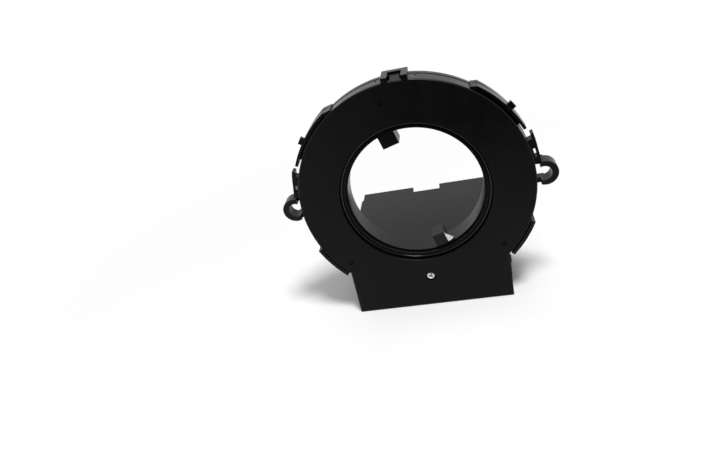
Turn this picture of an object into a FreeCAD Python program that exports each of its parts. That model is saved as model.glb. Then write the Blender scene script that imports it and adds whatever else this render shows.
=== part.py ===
import FreeCAD, Part
import math
import os

# Steering angle sensor, in millimetres. X runs to the right and Z up as seen from the front, Y runs
# back along the steering shaft. The origin is on the shaft's axis, in the plane of the cover's face.
# A polar angle is measured about that axis, from +X towards +Z, in degrees.

V = FreeCAD.Vector

# Ring: cover, rim and walls
RING_R = 46.0
COVER_HOLE_R = 29.8
WALL = 1.6
COVER_DEPTH = 6.8
SEAM = 0.15
RIM_PROUD = 0.15
RIM_LENGTH = 2.35
REAR_STEP = 1.4
LIP_REACH = 1.8
LIP_WALL = 1.2
EDGE_BEVEL = 0.4
HOLE_BEVEL = 0.3

# Clearances
RUN = 0.3
JOURNAL_FIT = 0.1
PRESS_GAP = 0.05
LOOSE = 0.15

# Rotor
COLUMN_R = 26.7
ROTOR_WALL = 1.4
MOUTH_STEP = 0.7
GROOVE_SET_BACK = 1.65
GROOVE_WIDTH = 0.35
GROOVE_DEPTH = 0.7
LUG_TIP_R = 21.3
LUG_SET_BACK = 1.4
LUG_LENGTH = 7.2
LUG_ANGLE = 105.5
WIDE_LUG = 6.6
NARROW_LUG = 4.9
GUSSET_LENGTH = 3.4
GUSSET_THICKNESS = 1.2

# Gearing
MODULE = 0.8
PRESSURE_ANGLE = 20.0
BACKLASH = 0.14
GEAR_WIDTH = 3.5
ROTOR_TEETH = 84
LEFT_TEETH = 22
RIGHT_TEETH = 24

# Measuring gears, magnets and the chips that read them
POST_R = 4.5
POST_WALL = 1.5
GEAR_WEB = 1.0
MAGNET_R = 3.0
MAGNET_LENGTH = 2.1
MAGNET_CUP_WALL = 1.1
AIR_GAP = 0.5
CHIP_HEIGHT = 1.0
CHIP_HALF_WIDTH = 1.95
CHIP_HALF_LENGTH = 2.45
CHIP_LEADS = 4
SENSOR_BOARD_T = 1.0
BOARD_PAD = 0.8
SADDLE_TOP = -21.6
STAKE_PAD_R = 2.0
STAKE_R = 1.0
STAKE_HEAD_R = 1.6
STAKE_HEAD_HEIGHT = 0.8
STOP_HALF = 0.8
STOP_CIRCLE_R = 6.6
STOPS_PER_GEAR = 3

# Block under the ring
BLOCK_HALF = 32.9
GEAR_ROOM = 0.6

# Screw through the cover
SCREW_HEAD_R = 1.75
SCREW_HEAD_HEIGHT = 1.1
SCREW_R = 1.0
SCREW_LENGTH = 7.5
SCREW_POCKET = 1.3
BOSS_R = 2.8
BOSS_GAP = 1.1
CROSS_WIDTH = 0.45
CROSS_LENGTH = 1.9
CROSS_DEPTH = 0.6
SCREW_HEAD_BEVEL = 0.45

# Electronics box behind the ring
BOX_HALF = 33.6
BOX_LENGTH = 47.2
BOX_CORNER = 1.2
HOOD_LENGTH = 6.8
HOOD_INSET = 1.2
NOTCH_HALF = 6.6
NOTCH_X = -0.55
NOTCH_LENGTH = 5.0
GUSSET_X = 30.5
GUSSET_REACH = 9.0
LID_SNAP_Y = (12.0, 36.0)
LID_SNAP_WIDTH = 6.0
LID_SNAP_HEIGHT = 9.0
LID_SNAP_NIB = 0.9
LID_SNAP_HEEL = 3.0
LID_SNAP_SLOPE = 0.4
LID_PANEL_EDGE = 4.0
LID_PANEL_DEPTH = 0.4

# Connector socket
SOCKET_HALF = 12.0
SOCKET_HEIGHT = 10.0
SOCKET_DEPTH = 11.0
SOCKET_WALL = 1.4
SOCKET_SET_BACK = 1.0
SOCKET_DROP = 2.6
HEADER_LENGTH = 3.5
HEADER_FLANGE = 1.3
PIN = 0.64
PIN_REACH = 7.0
PIN_TAIL = 2.2
CONNECTOR_PINS = 8
CONNECTOR_PITCH = 2.2
KEY_X = 7.0
KEY_WIDTH = 1.2
KEY_HEIGHT = 1.0

# Main board and its pillars
MAIN_BOARD_T = 1.6
BOARD_ABOVE_LID = 3.3
BOARD_SIDE_GAP = 2.0
MAIN_BOARD_START = 3.2
MAIN_BOARD_LENGTH = 35.5
PILLAR_R = 2.6
PILLAR_INSET = 4.4
BOARD_SCREW_R = 0.85
BOARD_SCREW_LENGTH = 7.0

# What the main board carries: half width, half length and height.
# A place is a share of the board's half width and of its length.
CHIP_BEVEL = 0.2
CHIP_PITCH = 1.27
LEAD_WIDTH = 0.4
LEAD_REACH = 1.0
LEAD_LEVEL = 0.45
CONTROLLER_HALF = 5.0
CONTROLLER_HEIGHT = 1.5
CONTROLLER_LEADS = 7
CONTROLLER_PLACE = (-0.3, 0.45)
TRANSCEIVER = (2.0, 2.5, 1.5)
TRANSCEIVER_LEADS = 4
TRANSCEIVER_PLACE = (0.6, 0.25)
REGULATOR = (3.2, 3.3, 2.2)
REGULATOR_LEADS = 3
REGULATOR_PITCH = 2.3
REGULATOR_PLACE = (-0.7, 0.6)
RESONATOR = (5.6, 2.3, 3.6)
RESONATOR_PLACE = (-0.3, 0.155)
CAN_R = 4.0
CAN_HEIGHT = 8.6
CAN_FOOT = 0.8
CAN_PLACE = (0.38, 0.65)
RESISTOR = (0.6, 1.0, 0.5)
CERAMIC = (0.6, 1.0, 0.8)
FILTER_OFFSET = 8.0
FILTER_HALF_STEP = 1.6

# Link between the two boards
LINK_PINS = 6
LINK_PITCH = 2.54
LINK_RISE = 2.4
LINK_BLOCK_HEIGHT = 2.5
LINK_BLOCK_LENGTH = 2.4
LINK_WINDOW_HALF = 9.0
LINK_TIP = 0.8
LINK_BEND = 1.6

# Ears that snap over the column switch's posts
EAR_X = 49.5
EAR_R = 4.9
EAR_HOLE_R = 2.9
EAR_HOLE_SHIFT = 0.4
EAR_MOUTH = 1.75
EAR_FRONT = 2.8
EAR_LENGTH = 5.65
EAR_STRIP_LENGTH = 3.75

# Snap bands on the cover's upper flanks, given for the right side and mirrored to the left. The left one
# has a longer root. A flange of the rim closes the gap under each band from behind.
RIGHT_ROOT_ANGLE = 55.6
LEFT_ROOT_ANGLE = 57.2
ROOT_STEP = 0.45
BAND_FREE_ANGLE = 52.9
BAND_END_ANGLE = 23.8
BAND_GAP = 0.5
BAND_FLARE = 0.4
BAND_WALL = 1.15
BAND_FRONT = 2.0
FLANGE_PROUD = 1.8
FLANGE_SHORT_ANGLE = 1.2
TAB_FROM_ANGLE = 33.2
TAB_TO_ANGLE = 36.5
TAB_REACH = 1.35
TAB_THICKNESS = 1.6

# Keeper beside each band, and the guide walls below
KEEPER_FROM_ANGLE = 6.5
KEEPER_TO_ANGLE = 17.7
KEEPER_PROUD = 2.6
KEEPER_FRONT = 3.0
KEEPER_HOLE_FROM = 8.6
KEEPER_HOLE_TO = 13.0
KEEPER_HOLE_INNER = 0.8
KEEPER_HOLE_OUTER = 1.6
HOOK_TO_ANGLE = 20.0
HOOK_FLARE = 0.6
HOOK_WALL = 1.2
GUIDE_FROM_ANGLE = -43.7
GUIDE_TO_ANGLE = -24.0
GUIDE_GAP = 0.8
GUIDE_WALL = 1.5
GUIDE_FRONT = 1.0

# Latch strap at the top
STRAP_X = 0.3
STRAP_HALF = 4.8
STRAP_LEG = 2.3
STRAP_LIFT = 1.5
STRAP_LENGTH = 9.4
STRAP_BAR = 2.6
STRAP_ROOM = 0.3
CATCH_GAP = 0.3
CATCH_SIDE_GAP = 0.7
CATCH_HOLD = 0.25
CATCH_TOE = 0.9

# Short slots in the skirt, right and left of the strap
SLOT_ANGLES = (80.3, 98.6)
SLOT_WIDTH = 0.5
SLOT_FRONT = 3.9
SLOT_LENGTH = 1.6
SLOT_DEPTH = 0.6

# Side catches of the block
SIDE_CATCH_Z = -37.7
SIDE_CATCH_LENGTH = 3.9
SIDE_CATCH_PROUD = 0.8
SIDE_CATCH_FRONT = 3.0
SIDE_CATCH_DEPTH = 2.0
SIDE_WINDOW_GAP = 0.4

# Small round marks left by the moulding pins, as (radius from the axis, polar angle)
DIMPLES = ((39.4, 99.0), (41.4, 220.0), (41.4, 319.6))
DIMPLE_R = 1.05
DIMPLE_PIP_R = 0.5
DIMPLE_DEPTH = 0.5

# Levels along the shaft, front to back
GEAR_FRONT = WALL + RUN
GEAR_BACK = GEAR_FRONT + GEAR_WIDTH
HUB_FRONT = GEAR_BACK + RUN
MAGNET_BACK = GEAR_BACK + MAGNET_LENGTH
CHIP_FRONT = MAGNET_BACK + AIR_GAP
BOARD_FRONT = CHIP_FRONT + CHIP_HEIGHT
BOARD_BACK = BOARD_FRONT + SENSOR_BOARD_T
REAR_WALL_FRONT = BOARD_BACK + BOARD_PAD
RING_DEPTH = REAR_WALL_FRONT + WALL
RIM_FRONT = COVER_DEPTH + SEAM
RIM_BACK = RIM_FRONT + RIM_LENGTH
EAR_BACK = EAR_FRONT + EAR_LENGTH
EAR_HOLE_X = EAR_X - EAR_HOLE_SHIFT
BOX_BACK = RING_DEPTH + BOX_LENGTH
HOOD_BACK = BOX_BACK + HOOD_LENGTH

# Radii that follow
ROTOR_R = COLUMN_R + ROTOR_WALL
HUB_BORE_R = ROTOR_R + RUN
HUB_R = HUB_BORE_R + WALL
RIM_R = RING_R + RIM_PROUD
REAR_R = RING_R - REAR_STEP
SKIRT_INNER_R = RING_R - WALL
LIP_R = SKIRT_INNER_R - LOOSE
LIP_INNER_R = LIP_R - LIP_WALL
ROTOR_PITCH_R = MODULE * ROTOR_TEETH / 2
ROTOR_TIP_R = ROTOR_PITCH_R + MODULE


def pitch_radius(teeth):
    return MODULE * teeth / 2


def gear_place(teeth, side):
    """Centre of a measuring gear: in mesh with the rotor and clear of the block's side wall."""
    reach = BLOCK_HALF - WALL - LOOSE - LIP_WALL - GEAR_ROOM - pitch_radius(teeth) - MODULE
    centres = ROTOR_PITCH_R + pitch_radius(teeth)
    return side * reach, -math.sqrt(centres ** 2 - reach ** 2)


LEFT_PLACE = gear_place(LEFT_TEETH, -1)
RIGHT_PLACE = gear_place(RIGHT_TEETH, 1)
GEAR_LOW = max(pitch_radius(LEFT_TEETH) + MODULE - LEFT_PLACE[1],
               pitch_radius(RIGHT_TEETH) + MODULE - RIGHT_PLACE[1])
BLOCK_BOTTOM = -(GEAR_LOW + GEAR_ROOM + LIP_WALL + LOOSE + WALL)
SCREW_Z = -(ROTOR_TIP_R + BOSS_GAP + BOSS_R)
BOX_TOP = -(HUB_BORE_R + RUN)
LID_TOP = BLOCK_BOTTOM + WALL
BOARD_LOW = LID_TOP + BOARD_ABOVE_LID
BOARD_TOP = BOARD_LOW + MAIN_BOARD_T
SOCKET_TOP = BOX_TOP - WALL - SOCKET_DROP
SOCKET_LOW = SOCKET_TOP - SOCKET_HEIGHT
SOCKET_MOUTH = HOOD_BACK - SOCKET_SET_BACK
SOCKET_FLOOR = SOCKET_MOUTH - SOCKET_DEPTH
HEADER_FRONT = SOCKET_FLOOR - HEADER_LENGTH
LINK_Z = BOARD_TOP + LINK_RISE
MAIN_BOARD_FRONT = RING_DEPTH + MAIN_BOARD_START
MAIN_BOARD_BACK = MAIN_BOARD_FRONT + MAIN_BOARD_LENGTH
BOARD_HALF = BOX_HALF - WALL - BOARD_SIDE_GAP


def polar(radius, angle, y=0.0):
    turn = math.radians(angle)
    return V(radius * math.cos(turn), y, radius * math.sin(turn))


def disc(radius, y0, y1, x=0.0, z=0.0):
    return Part.makeCylinder(radius, y1 - y0, V(x, y0, z), V(0, 1, 0))


def tube(outer, inner, y0, y1, x=0.0, z=0.0):
    return disc(outer, y0, y1, x, z).cut(disc(inner, y0, y1, x, z))


def block(x0, x1, y0, y1, z0, z1):
    return Part.makeBox(x1 - x0, y1 - y0, z1 - z0, V(x0, y0, z0))


def prism(points, direction):
    """Solid swept from a closed outline of straight sides."""
    return Part.Face(Part.makePolygon(points + [points[0]])).extrude(direction)


def sector(inner, outer, a0, a1, y0, y1, flare=0.0):
    """Curved wall from angle a0 to a1. With a flare, both faces move outwards towards a1."""
    middle = (a0 + a1) / 2
    out0, out1, out2 = [polar(outer + flare * k, a, y0) for k, a in ((0, a0), (0.5, middle), (1, a1))]
    in0, in1, in2 = [polar(inner + flare * k, a, y0) for k, a in ((0, a0), (0.5, middle), (1, a1))]
    edges = [
        Part.Arc(out0, out1, out2).toShape(),
        Part.makeLine(out2, in2),
        Part.Arc(in2, in1, in0).toShape(),
        Part.makeLine(in0, out0),
    ]
    return Part.Face(Part.Wire(edges)).extrude(V(0, y1 - y0, 0))


def keyhole(radius, half, low, y0, y1):
    """The sensor's outline seen from the front: a disc with a square block below."""
    return disc(radius, y0, y1).fuse(block(-half, half, y0, y1, low, 0)).removeSplitter()


def mirrored(shape):
    """The shape's mirror image on the other side of the shaft."""
    return shape.mirror(V(0, 0, 0), V(1, 0, 0))


def both_sides(shape):
    return [shape, mirrored(shape)]


def fused(shapes):
    return shapes[0].multiFuse(shapes[1:]).removeSplitter()


def edges_at(shape, y):
    """Edges that lie wholly in the plane Y = y."""
    return [e for e in shape.Edges if abs(e.BoundBox.YMin - y) < 1e-4 and abs(e.BoundBox.YMax - y) < 1e-4]


def involute(angle):
    return math.tan(angle) - angle


def gear_disc(teeth, radii, first, y0, y1, x=0.0, z=0.0):
    """Toothed disc. Flanks pass through the given radii, and a tooth is centred on the angle first."""
    pitch_r = pitch_radius(teeth)
    base_r = pitch_r * math.cos(math.radians(PRESSURE_ANGLE))
    half_tooth = (math.pi * MODULE / 2 - BACKLASH) / (2 * pitch_r)
    opening = half_tooth + involute(math.radians(PRESSURE_ANGLE))
    flank = [(r, opening - involute(math.acos(min(1.0, base_r / r)))) for r in radii]
    points = []
    for k in range(teeth):
        centre = math.radians(first) + 2 * math.pi * k / teeth
        turns = [(r, centre - half) for r, half in flank]
        turns += [(r, centre + half) for r, half in reversed(flank)]
        points += [V(x + r * math.cos(a), y0, z + r * math.sin(a)) for r, a in turns]
    return prism(points, V(0, y1 - y0, 0))


def root_radius(teeth):
    return pitch_radius(teeth) - 1.25 * MODULE


def meshing_angle(teeth, place):
    """Angle of one tooth of a measuring gear, so that a gap of it faces a tooth of the rotor."""
    contact = math.atan2(place[1], place[0])
    step = 2 * math.pi / ROTOR_TEETH
    lag = (contact / step - round(contact / step)) * step * ROTOR_PITCH_R
    gap = contact + math.pi + lag / pitch_radius(teeth)
    return math.degrees(gap + math.pi / teeth)


def drive_lug(width, turn, gusset_length):
    """Lug in the bore that a slot of the shaft's hub turns. A thin gusset may stand at one side."""
    front = GEAR_FRONT + LUG_SET_BACK
    root = COLUMN_R + ROTOR_WALL / 2
    side = width / 2
    drive = block(LUG_TIP_R, root, front, front + LUG_LENGTH, -side, side)
    if gusset_length > 0:
        corners = [V(LUG_TIP_R, front, side), V(root, front, side), V(root, front, side + gusset_length)]
        drive = drive.fuse(prism(corners, V(0, GUSSET_THICKNESS, 0)))
    drive = drive.common(disc(root, 0, RING_DEPTH))
    drive.rotate(V(0, 0, 0), V(0, -1, 0), turn)
    return drive


def make_rotor():
    """Glossy ring turned by the shaft: toothed web, tube with a wider mouth, two drive lugs in the bore."""
    groove_r = COLUMN_R + GROOVE_SET_BACK
    body = fused([
        gear_disc(ROTOR_TEETH, (root_radius(ROTOR_TEETH), ROTOR_TIP_R), 0.0, GEAR_FRONT, GEAR_BACK),
        disc(ROTOR_R, GEAR_BACK - WALL, RING_DEPTH - RUN),
    ]).cut(disc(COLUMN_R, 0, RING_DEPTH))
    body = body.cut(disc(COLUMN_R + MOUTH_STEP, 0, GEAR_FRONT + LUG_SET_BACK))
    body = body.cut(tube(groove_r + GROOVE_WIDTH, groove_r, 0, GEAR_FRONT + GROOVE_DEPTH))
    upper = drive_lug(WIDE_LUG, LUG_ANGLE, 0)
    lower = drive_lug(NARROW_LUG, LUG_ANGLE + 180, GUSSET_LENGTH)
    return fused([body, upper, lower])


def make_measuring_gear(teeth, place):
    """Small gear: counterbored for the cover's post in front, with a cup for its magnet behind."""
    x, z = place
    radii = (root_radius(teeth), pitch_radius(teeth) + MODULE)
    wheel = gear_disc(teeth, radii, meshing_angle(teeth, place), GEAR_FRONT, GEAR_BACK, x, z)
    cup = disc(MAGNET_R + MAGNET_CUP_WALL, GEAR_BACK - GEAR_WEB / 2, MAGNET_BACK, x, z)
    bore = disc(POST_R + JOURNAL_FIT, GEAR_FRONT, GEAR_BACK - GEAR_WEB, x, z)
    pocket = disc(MAGNET_R + PRESS_GAP, GEAR_BACK, MAGNET_BACK, x, z)
    return wheel.fuse(cup).cut(bore).cut(pocket).removeSplitter()


def make_magnet(place):
    return disc(MAGNET_R, GEAR_BACK, MAGNET_BACK, place[0], place[1])


def ramped_root(inner, outer, root_angle, y0, y1):
    """Foot of a snap band on the right flank, with a flat top that rises from a small step to the band."""
    corners = [polar(inner, root_angle, y0), polar(RING_R + ROOT_STEP, root_angle, y0),
               polar(outer, BAND_FREE_ANGLE, y0), polar(inner, BAND_FREE_ANGLE, y0)]
    return prism(corners, V(0, y1 - y0, 0))


def make_snap_band(root_angle):
    """Springy arm on the cover's right flank, with its release tab. It stands off more towards its end."""
    inner = RING_R + BAND_GAP
    outer = inner + BAND_WALL
    root = ramped_root(RING_R - WALL / 2, outer, root_angle, BAND_FRONT, COVER_DEPTH)
    arm = sector(inner, outer, BAND_FREE_ANGLE, BAND_END_ANGLE, BAND_FRONT, COVER_DEPTH, BAND_FLARE)
    tab = sector(inner + BAND_WALL / 2, outer + BAND_FLARE + TAB_REACH, TAB_FROM_ANGLE, TAB_TO_ANGLE,
                 COVER_DEPTH - TAB_THICKNESS, COVER_DEPTH)
    return fused([root, arm, tab])


def make_keeper():
    """Lug on the skirt below the band: pierced, with a prong that reaches up outside it."""
    outer = RING_R + KEEPER_PROUD
    lug = sector(RING_R - WALL / 2, outer, KEEPER_FROM_ANGLE, KEEPER_TO_ANGLE, KEEPER_FRONT, COVER_DEPTH)
    middle = (KEEPER_FROM_ANGLE + KEEPER_TO_ANGLE) / 2
    prong = sector(outer - HOOK_WALL, outer, middle, HOOK_TO_ANGLE, KEEPER_FRONT, COVER_DEPTH, HOOK_FLARE)
    hole = sector(RING_R + KEEPER_HOLE_INNER, RING_R + KEEPER_HOLE_OUTER, KEEPER_HOLE_FROM, KEEPER_HOLE_TO,
                  0, COVER_DEPTH)
    return lug.fuse(prong).cut(hole)


def make_strap():
    """Latch strap over the top of the rim: two legs and a cross bar behind the housing's catch."""
    top = RING_R + STRAP_LIFT
    outline = block(STRAP_X - STRAP_HALF, STRAP_X + STRAP_HALF, 0, STRAP_LENGTH, RING_R - WALL, top)
    inner = STRAP_HALF - STRAP_LEG
    window = block(STRAP_X - inner, STRAP_X + inner, 0, STRAP_LENGTH - STRAP_BAR, 0, top)
    rim_room = disc(RIM_R + STRAP_ROOM, COVER_DEPTH, STRAP_LENGTH)
    return outline.cut(window).cut(rim_room)


def screw_hole(radius, y0, y1):
    return disc(radius, y0, y1, 0, SCREW_Z)


def make_front_cover():
    """Plate and skirt in one moulding, with the gears' posts on its inner face."""
    shell = keyhole(RING_R, BLOCK_HALF, BLOCK_BOTTOM, 0, COVER_DEPTH)
    shell = shell.makeChamfer(EDGE_BEVEL, edges_at(shell, 0))
    shell = shell.cut(keyhole(SKIRT_INNER_R, BLOCK_HALF - WALL, BLOCK_BOTTOM + WALL, WALL, COVER_DEPTH))
    hole = disc(COVER_HOLE_R, 0, WALL)
    shell = shell.cut(hole)
    hole_edges = [e for e in edges_at(shell, 0) if e.BoundBox.ZMax < COVER_HOLE_R + HOLE_BEVEL]
    shell = shell.makeChamfer(HOLE_BEVEL, hole_edges)
    strap_inner = STRAP_HALF - STRAP_LEG
    shell = shell.cut(block(STRAP_X - strap_inner, STRAP_X + strap_inner, WALL, COVER_DEPTH,
                            SKIRT_INNER_R - WALL, RING_R + STRAP_LIFT))
    bands = [make_snap_band(RIGHT_ROOT_ANGLE), mirrored(make_snap_band(LEFT_ROOT_ANGLE))]
    additions = bands + both_sides(make_keeper()) + [make_strap()]
    for x, z in (LEFT_PLACE, RIGHT_PLACE):
        additions.append(disc(POST_R, WALL / 2, GEAR_BACK - GEAR_WEB - RUN, x, z))
    additions.append(screw_hole(BOSS_R, WALL / 2, GEAR_FRONT))
    cover = fused([shell] + additions)
    cuts = [screw_hole(SCREW_HEAD_R + RUN, 0, SCREW_POCKET), screw_hole(SCREW_R + LOOSE, 0, GEAR_FRONT)]
    for x, z in (LEFT_PLACE, RIGHT_PLACE):
        cuts.append(disc(POST_R - POST_WALL, WALL, GEAR_BACK, x, z))
    for radius, angle in DIMPLES:
        centre = polar(radius, angle)
        cuts.append(tube(DIMPLE_R, DIMPLE_PIP_R, 0, DIMPLE_DEPTH, centre.x, centre.z))
    for angle in SLOT_ANGLES:
        slot = block(RING_R - SLOT_DEPTH, RING_R + STRAP_LIFT, SLOT_FRONT, SLOT_FRONT + SLOT_LENGTH,
                     -SLOT_WIDTH / 2, SLOT_WIDTH / 2)
        slot.rotate(V(0, 0, 0), V(0, -1, 0), angle)
        cuts.append(slot)
    half_window = SIDE_CATCH_LENGTH / 2 + SIDE_WINDOW_GAP
    cuts += both_sides(block(BLOCK_HALF - 2 * WALL, BLOCK_HALF, SIDE_CATCH_FRONT - SIDE_WINDOW_GAP,
                             SIDE_CATCH_FRONT + SIDE_CATCH_DEPTH + SIDE_WINDOW_GAP,
                             SIDE_CATCH_Z - half_window, SIDE_CATCH_Z + half_window))
    return cover.cut(Part.makeCompound(cuts))


def make_ear():
    """Right-hand ear: a C-shaped sleeve, open towards the ring, on two short strips."""
    mouth = block(EAR_X - 2 * EAR_R, EAR_X - EAR_MOUTH, EAR_FRONT, EAR_BACK, -EAR_R, EAR_R)
    sleeve = disc(EAR_R, EAR_FRONT, EAR_BACK, EAR_X, 0).cut(mouth)
    strips = []
    for z0 in (EAR_HOLE_R, -EAR_R):
        strips.append(block(LIP_R, EAR_X, RIM_BACK - EAR_STRIP_LENGTH, RIM_BACK, z0, z0 + EAR_R - EAR_HOLE_R))
    trimmed = Part.makeCompound(strips).cut(disc(RING_R + RUN, 0, RIM_FRONT))
    return sleeve.fuse(trimmed).cut(disc(EAR_HOLE_R, 0, RING_DEPTH, EAR_HOLE_X, 0))


def make_catch():
    """Wedge in front of the rim at the top, in the skirt's slot, that the strap's bar snaps behind."""
    half = STRAP_HALF - STRAP_LEG - CATCH_SIDE_GAP
    back = STRAP_LENGTH - STRAP_BAR - CATCH_GAP
    top = RIM_R + STRAP_ROOM + CATCH_HOLD
    left = STRAP_X - half
    side = [V(left, CATCH_TOE, SKIRT_INNER_R), V(left, RIM_FRONT, SKIRT_INNER_R), V(left, RIM_FRONT, RING_R),
            V(left, back, RING_R), V(left, back, top), V(left, CATCH_TOE, RING_R - EDGE_BEVEL)]
    front = WALL + LOOSE
    return prism(side, V(2 * half, 0, 0)).cut(block(left, left + 2 * half, 0, front, 0, RING_R))


def make_band_flange(root_angle):
    """Part of the rim that stands out behind the right snap band, with the same ramp at its root."""
    outer = RING_R + FLANGE_PROUD
    end = BAND_END_ANGLE + FLANGE_SHORT_ANGLE
    return ramped_root(LIP_R, outer, root_angle, RIM_FRONT, RIM_BACK).fuse(
        sector(LIP_R, outer, BAND_FREE_ANGLE, end, RIM_FRONT, RIM_BACK))


def make_guide():
    """Curved wall that stands off the skirt's right flank below the ear, on a foot of the rim."""
    outer = RING_R + GUIDE_GAP + GUIDE_WALL
    wall = sector(RING_R + GUIDE_GAP, outer, GUIDE_FROM_ANGLE, GUIDE_TO_ANGLE, GUIDE_FRONT, EAR_BACK)
    foot = sector(LIP_R, outer, GUIDE_FROM_ANGLE, GUIDE_TO_ANGLE, RIM_FRONT, EAR_BACK)
    return wall.fuse(foot)


def make_side_catch():
    """Tongue inside the block's right wall with a nib that shows through the cover's window."""
    inner = BLOCK_HALF - WALL - LOOSE
    z0 = SIDE_CATCH_Z - SIDE_CATCH_LENGTH / 2
    z1 = z0 + SIDE_CATCH_LENGTH
    tongue = block(inner - LIP_WALL, inner, SIDE_CATCH_FRONT, RIM_BACK, z0, z1)
    nib = prism([V(inner - LIP_WALL / 2, SIDE_CATCH_FRONT, z0), V(inner, SIDE_CATCH_FRONT, z0),
                 V(BLOCK_HALF + SIDE_CATCH_PROUD, SIDE_CATCH_FRONT + SIDE_CATCH_DEPTH, z0),
                 V(inner - LIP_WALL / 2, SIDE_CATCH_FRONT + SIDE_CATCH_DEPTH, z0)], V(0, 0, z1 - z0))
    return tongue.fuse(nib)


def sensor_board_outline(y0, y1):
    """Saddle-shaped board around the rotor's hub, inside the block."""
    half = BLOCK_HALF - WALL - 2 * LOOSE - LIP_WALL
    low = BLOCK_BOTTOM + WALL + 2 * LOOSE + LIP_WALL
    saddle = block(-half, half, y0, y1, low, SADDLE_TOP)
    return saddle.cut(disc(HUB_R + 2 * RUN, y0, y1))


def stake_places():
    """Where the sensor board is staked, beside the link's window."""
    low_x = LINK_WINDOW_HALF + 2 * STAKE_PAD_R
    low_z = BLOCK_BOTTOM + WALL + LIP_WALL + 2 * LOOSE + STAKE_PAD_R + RUN
    return [(-low_x, low_z), (low_x, low_z)]


def gear_stops(place, half, y0, y1):
    """Square posts that keep a measuring gear from sliding back."""
    steps = [90 + 360 * k / STOPS_PER_GEAR for k in range(STOPS_PER_GEAR)]
    centres = [V(place[0], 0, place[1]) + polar(STOP_CIRCLE_R, a) for a in steps]
    return [block(c.x - half, c.x + half, y0, y1, c.z - half, c.z + half) for c in centres]


def pin_row(count, pitch):
    return [pitch * (k - (count - 1) / 2) for k in range(count)]


def pillar_places():
    """Two opposite corners of the main board."""
    x = BOARD_HALF - PILLAR_INSET
    return [(-x, MAIN_BOARD_FRONT + PILLAR_INSET), (x, MAIN_BOARD_BACK - PILLAR_INSET)]


def upright(radius, z0, z1, x, y):
    return Part.makeCylinder(radius, z1 - z0, V(x, y, z0))


def make_box():
    """Electronics box behind the ring: open below, with a hood and a connector socket at the rear."""
    outer = block(-BOX_HALF, BOX_HALF, REAR_WALL_FRONT, BOX_BACK, LID_TOP, BOX_TOP)
    upper = [e for e in outer.Edges if abs(e.BoundBox.ZMin - BOX_TOP) < 1e-4 and e.BoundBox.YLength > 1]
    outer = outer.makeFillet(BOX_CORNER, upper)
    inner = block(-BOX_HALF + WALL, BOX_HALF - WALL, RING_DEPTH, BOX_BACK - WALL, LID_TOP, BOX_TOP - WALL)
    hood_half = BOX_HALF - HOOD_INSET
    hood = block(-hood_half, hood_half, BOX_BACK - WALL, HOOD_BACK, LID_TOP, BOX_TOP)
    hollow = block(-hood_half + WALL, hood_half - WALL, BOX_BACK, HOOD_BACK, LID_TOP + WALL, BOX_TOP - WALL)
    notch = block(NOTCH_X - NOTCH_HALF, NOTCH_X + NOTCH_HALF, HOOD_BACK - NOTCH_LENGTH, HOOD_BACK,
                  BOX_TOP - WALL, BOX_TOP)
    sleeve = block(-SOCKET_HALF - SOCKET_WALL, SOCKET_HALF + SOCKET_WALL, HEADER_FRONT, SOCKET_MOUTH,
                   SOCKET_LOW - SOCKET_WALL, SOCKET_TOP + SOCKET_WALL)
    socket = block(-SOCKET_HALF, SOCKET_HALF, HEADER_FRONT, SOCKET_MOUTH, SOCKET_LOW, SOCKET_TOP)
    keys = []
    for x in (-KEY_X, KEY_X):
        keys.append(block(x - KEY_WIDTH / 2, x + KEY_WIDTH / 2, SOCKET_FLOOR, SOCKET_MOUTH,
                          SOCKET_LOW - SOCKET_WALL / 2, SOCKET_LOW + KEY_HEIGHT))
    box = outer.cut(inner).fuse(hood.cut(hollow).cut(notch)).fuse(sleeve).cut(socket).fuse(keys)
    pillars = [upright(PILLAR_R, BOARD_TOP, BOX_TOP - WALL / 2, x, y) for x, y in pillar_places()]
    bores = [upright(BOARD_SCREW_R + PRESS_GAP, BOARD_TOP, BOARD_TOP + BOARD_SCREW_LENGTH, x, y)
             for x, y in pillar_places()]
    windows = []
    for start in LID_SNAP_Y:
        y0 = RING_DEPTH + start - LID_SNAP_WIDTH / 2 - RUN
        z1 = LID_TOP + LID_SNAP_HEIGHT + RUN
        windows.append(block(-2 * BOX_HALF, 2 * BOX_HALF, y0, y0 + LID_SNAP_WIDTH + 2 * RUN,
                             z1 - LID_SNAP_HEEL - 2 * RUN, z1))
    walls_only = windows[0].multiFuse(windows[1:]).cut(inner)
    return box.fuse(pillars).cut(Part.makeCompound(bores)).cut(walls_only)


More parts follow.
